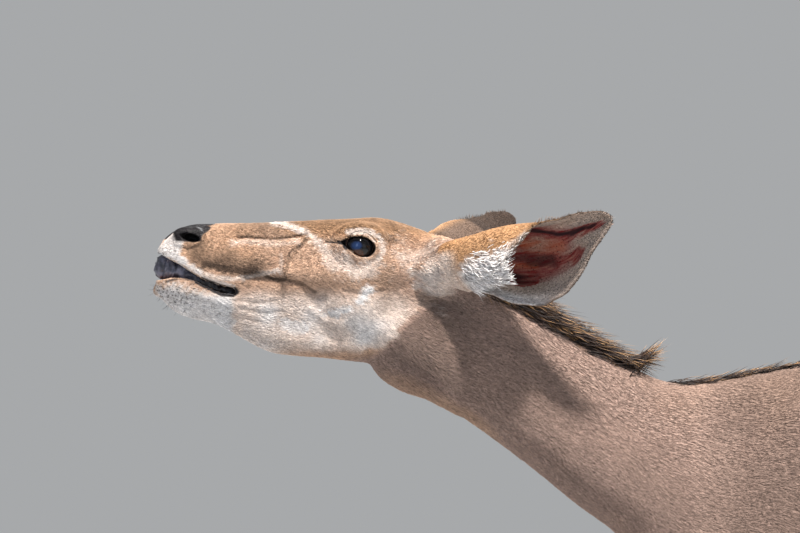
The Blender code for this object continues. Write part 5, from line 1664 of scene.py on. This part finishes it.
def add_mane(hide):
    """The nape's mane, swept up and back, and the low crest over the withers."""
    on = region_of(hide)
    roots, normals = hide.scatter(150e3 * (mane_band(hide.middles) * (on["neck"] | on["trunk"])))
    x = roots[:, 0] - WITHERS.x
    count = len(roots)
    end = rise(-0.300, -0.266, x) * rise(-0.235, -0.250, x)
    crest = rise(-0.25, -0.21, x)
    slope = -0.44 + 0.95 * end + 0.30 * crest + 0.08 * draw.normal(size=count)
    way = np.stack([1 - 0.25 * end, 0.10 * draw.normal(size=count), slope], 1)
    way = unit(way - normals * (way * normals).sum(1)[:, None] * 0.6)
    up = square_to(np.array([0.10, 0.0, 1.0]) + 0.35 * normals, way)
    length = (0.062 - 0.020 * end - 0.032 * crest) * draw.uniform(0.55, 1.15, count)
    lift = 0.22 + 0.06 * rise(-0.42, -0.28, x) + 0.34 * end + 0.06 * crest + draw.uniform(-0.12, 0.16, count)
    mane = strand_finish("mane hair", (0.007, 0.0035, 0.003), (0.56, 0.315, 0.140), (0.040, 0.018, 0.010),
                         turn=0.66, late=0.10)
    strands("mane", roots, up, way, length, (0.0012, 0.0021), lift, (-0.30, 0.05), (-0.22, 0.22), mane,
            unwrapped(roots), stages=4)


def add_tail_brush(hide):
    z = hide.middles[:, 2]
    roots, normals = hide.scatter(120e3 * region_of(hide)["tail"] * rise(1.04, 0.96, z))
    count = len(roots)
    way = unit(np.stack([0.10 + 0.1 * normals[:, 0], 0.35 * normals[:, 1], -np.ones(count)], 1))
    length = (0.040 + 0.050 * rise(1.00, 0.80, roots[:, 2])) * draw.uniform(0.7, 1.2, count)
    brush = strand_finish("tail hair", (0.30, 0.24, 0.19), (0.05, 0.035, 0.028), (0.62, 0.56, 0.50))
    strands("tail_brush", roots, square_to(normals, way), way, length, (0.0012, 0.0020), (0.05, 0.30),
            (-0.12, 0.02), (-0.15, 0.15), brush, unwrapped(roots))


def add_ear_hair(hide, name, ear, white_hair):
    """Long white hair on the ear's front wall, fanned out near its base."""
    u, angle, _, inside, on = ear.measure(hide.middles, hide.facing)
    weight = (on & ~inside) * ear_front(u, angle, 0.0) * rise(0.10, 0.18, u) * rise(0.63, 0.52, u)
    roots, normals = hide.scatter(weight * 270e3)
    u, angle, *_ = ear.measure(roots, normals)
    fan = 0.55 * rise(0.50, 0.15, u) * rise(-1.6, -2.6, angle) - 0.35 * rise(0.30, 0.50, u)
    way = np.array(ear.axis) + fan[:, None] * np.array(ear.across) + 0.20 * draw.normal(size=roots.shape)
    length = (0.010 + 0.012 * rise(0.50, 0.15, u)) * draw.uniform(0.5, 1.35, len(roots))
    strands(f"ear_hair_{name}", roots, normals, square_to(way, normals), length, (0.0008, 0.0014),
            (0.10, 0.30), (-0.25, 0.0), (-0.15, 0.15), white_hair, ear_unwrapped(roots, normals),
            stages=3)


def add_ear_rim(hide, name, ear, coat):
    """A fringe along the ear's front rim."""
    u, _, share, inside, on = ear.measure(hide.middles, hide.facing)
    weight = (on & ~inside & (share < -0.93)) * rise(0.30, 0.42, u) * rise(1.0, 0.94, u)
    roots, normals = hide.scatter(weight * 480e3)
    u, _, share, *_ = ear.measure(roots, normals)
    outward = np.sign(share)[:, None] * 0.6 * np.array(ear.across)
    way = unit(np.array(ear.axis) + outward + 0.20 * draw.normal(size=roots.shape))
    up = unit(np.cross(way, np.cross(normals, way)))
    length = (0.004 + 0.005 * rise(0.80, 0.50, u)) * draw.uniform(0.5, 1.4, len(roots))
    strands(f"ear_rim_{name}", roots, up, way, length, (0.0006, 0.0010), (0.05, 0.30), (-0.2, 0.1),
            (-0.15, 0.15), coat, ear_unwrapped(roots, normals), stages=2)


def add_long_hair(hide, coat):
    add_mane(hide)
    add_tail_brush(hide)
    white_hair = strand_finish("ear hair", (0.30, 0.25, 0.22), (0.98, 0.96, 0.95), (0.82, 0.77, 0.75),
                               light=0.78)
    for name, s in SIDES:
        add_ear_hair(hide, name, EARS[s], white_hair)
        add_ear_rim(hide, name, EARS[s], coat)


def add_lashes(name, s, black):
    """Upper lashes, along the front half of the lid line."""
    line = np.array(spline(LID_LINE[:5], 14))
    centre = np.array(EYE_AT[s])
    f, h = line[:, 0] * 1.05, line[:, 1] * 1.10
    count = len(f)
    depth = np.sqrt(np.maximum((EYE_RADIUS + 0.003) ** 2 - f**2 - h**2, 1e-8))
    roots = np.stack([centre[0] - f, centre[1] + s * depth, centre[2] + h], 1)
    droop = np.stack([np.where(f > 0, -0.18, 0.25), np.full(count, s * 0.75), np.full(count, -0.10)], 1)
    way = unit(unit(roots - centre) * 0.55 + droop + 0.08 * draw.normal(size=(count, 3)))
    up = unit(np.cross(way, np.array([1.0, 0.0, 0.0])) * s * -1)
    strands(f"lashes_{name}", roots, up, way, draw.uniform(0.007, 0.012, count), 0.0005, 0.0, 0.35,
            (-0.1, 0.1), black, np.stack([f, h], 1), stages=4)


def add_whiskers(hide):
    """Whiskers on the chin, and lashes."""
    black = strand_finish("whisker", (0.012, 0.010, 0.010), (0.05, 0.04, 0.035), rough=0.4)
    f, _, h = from_eye(hide.middles)
    chin = rise(0.160, 0.180, f) * rise(-0.038, -0.046, h) * rise(-0.088, -0.072, h)
    roots, normals = hide.scatter(14e3 * chin)
    way = unit(normals + np.array([-0.5, 0.0, -0.35]) + 0.25 * draw.normal(size=roots.shape))
    up = unit(np.cross(way, np.array([0.0, 1.0, 0.1])))
    strands("whiskers", roots, up, way, draw.uniform(0.003, 0.011, len(roots)), (0.0004, 0.0006), 0.0,
            (-0.2, 0.1), 0.0, black, unwrapped(roots), stages=3)
    for name, s in SIDES:
        add_lashes(name, s, black)


# ---- eyes, tongue, hooves --------------------------------------------------------------------------------
def eye_finish(name, centre):
    """Nearly black, with a painted bluish reflection above, a brown iris low in the eye whose upper part is
    painted dark as the lid's shade, and a dull white at its edge.
    """
    finish = Finish(name, Roughness=0.04, IOR=1.34, Specular_IOR_Level=0.55)
    x, _, z = finish.split(finish.vector("SUBTRACT", {0: finish.place(), 1: tuple(centre)}))

    def off_spot(x_at, z_at, half_long, half_high):
        return ((x - x_at) / half_long) ** 2.0 + ((z - z_at) / half_high) ** 2.0

    radial = (x * x + z * z) ** 0.5
    angle = finish.node("ShaderNodeMath", {"operation": "ARCTAN2"}, {0: z, 1: x})
    spokes = finish.joined(angle * 5.0, radial * 60.0)
    inputs = {"Vector": spokes, "Scale": 4.0, "Detail": 4.0}
    fibre = finish.node("ShaderNodeTexNoise", {"noise_dimensions": "2D"}, inputs)
    iris = finish.mix(fibre.ramp(0.3, 0.7), (0.014, 0.005, 0.003), (0.075, 0.025, 0.011))
    # The brown iris shows only low in the eye: above, it is painted near black as the lid's shade.
    low = off_spot(-0.0025, -0.0085, 0.0085, 0.0052).ramp(0.30, 1.30, 1.0, 0.0)
    # A painted bluish reflection of the sky, up and forward of the eye's middle.
    painted_sky_reflection = off_spot(-0.0040, 0.0012, 0.0075, 0.0060).ramp(0.10, 1.20, 0.85, 0.0)
    colour = finish.mix(painted_sky_reflection, (0.003, 0.0025, 0.003), (0.010, 0.024, 0.072))
    colour = finish.mix(low, colour, iris)
    white = finish.mix(finish.noise(scale=300, detail=3), (0.045, 0.024, 0.018), (0.12, 0.075, 0.055))
    finish.feed("Base Color", finish.mix(radial.ramp(0.0150, 0.0165), colour, white))
    finish.feed("Roughness", 0.03 + finish.noise(scale=180, detail=2) * 0.05)
    return finish.material


def add_eyes():
    """Eyeballs with a slightly raised cornea, looking sideways."""
    for name, side in SIDES:
        centre = EYE_AT[side]
        bm = bmesh.new()
        bmesh.ops.create_uvsphere(bm, u_segments=96, v_segments=64, radius=EYE_RADIUS)
        bm.transform(Matrix.Rotation(-side * pi / 2, 4, "X"))
        for vert in bm.verts:
            if vert.co.y * side > 0:
                off = np.hypot(vert.co.x, vert.co.z)
                vert.co.y += side * 0.0011 * float(rise(0.0135, 0.004, off))
        bm.transform(Matrix.Translation(centre))
        eye = solid(f"eyeball_{name}", bm)
        eye.data.shade_smooth()
        eye.data.materials.append(eye_finish(f"eye {name}", centre))
        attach(eye, "root")
        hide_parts(f"eye_{name}")


def tongue_finish():
    """Wet and slate grey, pinker low at its front, black inside the mouth."""
    finish = Finish("tongue", Roughness=0.4, Specular_IOR_Level=0.35, Coat_Weight=0.25, Coat_Roughness=0.22)
    x, _, z = finish.split(finish.place())
    low = z.ramp(EYE.z - 0.044, EYE.z - 0.032, 1.0, 0.0) * x.ramp(EYE.x - 0.216, EYE.x - 0.226)
    cloud = finish.noise(scale=90, detail=4)
    colour = finish.mix(cloud.ramp(0.38, 0.66), (0.022, 0.022, 0.034), (0.135, 0.130, 0.170))
    colour = finish.mix(low * cloud.ramp(0.25, 0.60, 0.3, 1.0), colour, (0.190, 0.075, 0.080))
    colour = finish.mix(x.ramp(EYE.x - 0.206, EYE.x - 0.188), colour, (0.010, 0.007, 0.008))
    finish.feed("Base Color", colour)
    buds = finish.cells(900)
    finish.feed("Roughness", 0.34 + buds * 0.25)
    finish.bump(buds + cloud * 0.5, 0.5, 0.0008)
    return finish.material


def add_tongue():
    """The tongue and the inside of the lips, which fill the open mouth and bulge at its front."""
    rows = ((0.1380, -0.0550, 0.0140, 0.0100), (0.1520, -0.0535, 0.0185, 0.0095),
            (0.1700, -0.0500, 0.0225, 0.0100), (0.1900, -0.0405, 0.0245, 0.0130),
            (0.2120, -0.0305, 0.0235, 0.0150), (0.2275, -0.0262, 0.0200, 0.0160),
            (0.2360, -0.0238, 0.0160, 0.0145))
    rows = [(*on_head(f, 0, h), wide, deep) for f, h, wide, deep in rows]
    tongue = tube("tongue_wet", rows, sides=64, steps=14)
    places = places_of(tongue.data)
    f, _, h = from_eye(places)
    folds = np.sin(2 * pi * (f + 0.20 * h) / 0.0046 + 1.6 * ripple(places, 0.020, 43)) * rise(0.200, 0.222, f)
    bumps = ripple(places, 0.0045, 44) * rise(0.200, 0.180, f)
    dent = 0.0014 * ripple(places, 0.012, 41) + 0.0006 * ripple(places, 0.004, 42)
    dent = dent + 0.0009 * folds + 0.0011 * bumps
    move_to(tongue.data, places + normals_of(tongue.data) * dent[:, None])
    tongue.data.shade_smooth()
    tongue.data.materials.append(tongue_finish())
    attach(tongue, "root")
    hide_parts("tongue")


def horn_finish():
    finish = Finish("hoof horn", Roughness=0.45)
    _, _, z = finish.split(finish.place())
    wave = {"Scale": 120.0, "Distortion": 2.5, "Detail": 3.0, "Detail Scale": 1.5}
    rings = finish.node("ShaderNodeTexWave", {"bands_direction": "Z"}, wave)
    grain = finish.noise(scale=220, detail=3, stretch=(1, 1, 0.15))
    colour = finish.mix(grain.ramp(0.3, 0.7), (0.016, 0.014, 0.013), (0.070, 0.058, 0.048))
    colour = finish.mix(z.ramp(0.002, 0.012, 0.55, 0.0), colour, (0.150, 0.125, 0.100))
    finish.feed("Base Color", colour)
    finish.feed("Roughness", 0.35 + grain * 0.3)
    finish.bump(rings * 0.6 + grain, 0.5, 0.0007)
    return finish.material


# The outline of a toe at four heights: half length, half width, and how far its middle is set back.
TOE_OUTLINE = ((0.000, 0.0370, 0.0120, 0.0000), (0.003, 0.0375, 0.0128, 0.0000),
               (0.028, 0.0315, 0.0122, 0.0060), (HOOF_TOP, 0.0262, 0.0110, 0.0120))


def toe_form(name, x, y, away):
    """One toe: flat underneath, pointed ahead, with the growth rings of its wall."""
    sides, levels = 40, 26
    heights = [row[0] for row in TOE_OUTLINE]
    verts = []
    for level in np.linspace(0, 1, levels):
        z = HOOF_TOP * level
        half, wide, back = (np.interp(z, heights, [row[k] for row in TOE_OUTLINE]) for k in (1, 2, 3))
        ring = 0.00025 * sin(z * 1500) * rise(0.0, 0.006, z)
        for ahead, out in circle(sides):
            point = 1 - 0.45 * max(ahead, 0.0)
            across = 0.0136 + 0.002 * max(ahead, 0.0) + (wide + ring) * out * point
            verts.append((x + back - (half + ring) * ahead, y + away * across, z))
    return face_out(mesh_object(name, verts, ring_faces(levels, sides)))


def add_hooves():
    """Two toes and two dewclaws to each foot."""
    horn = horn_finish()
    claws = []
    for name, side in SIDES:
        for pair in ("fore", "hind"):
            along, way, apart = FOOT[pair]
            along += way * STEP[pair, name]
            x, y, _ = at(along, side * apart, 0)
            for toe, away in (("outer", side), ("inner", -side)):
                obj = toe_form(f"toe_{pair}_{name}_{toe}", x, y, away)
                obj.data.shade_smooth()
                obj.data.materials.append(horn)
                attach(obj, "root")
                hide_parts(f"hoof_{pair}_{name}_{toe}")
            for away in (-1, 1):
                place = at(along + 0.061, side * apart + away * 0.0135, 0.104)
                claws.append(ball("claw", place, (0.0110, 0.0082, 0.0165), turn=0.5))
    claws = join("dewclaws", claws)
    claws.data.shade_smooth()
    claws.data.materials.append(horn)
    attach(claws, "root")


# ---- all together ----------------------------------------------------------------------------------------
FLESH = [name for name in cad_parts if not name.startswith(("eye_", "hoof_", "tongue"))]


def add_skin():
    skin = whole_skin()
    skin.data.shade_smooth()
    places, normals = places_of(skin.data), normals_of(skin.data)
    shown, kind = marks(places, normals)
    carry(skin.data, "marks", shown)
    carry(skin.data, "hide", kind)
    carry(skin.data, "ear", ear_map(places, normals))
    skin.data.materials.append(skin_finish())
    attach(skin, "root")
    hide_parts(*FLESH)
    return Hide(skin.data)


add_camera()
add_studio()
skin_hide = add_skin()
add_eyes()
add_tongue()
add_hooves()
coat_hair = hair_finish()
add_coat(skin_hide, coat_hair)
add_long_hair(skin_hide, coat_hair)
add_whiskers(skin_hide)
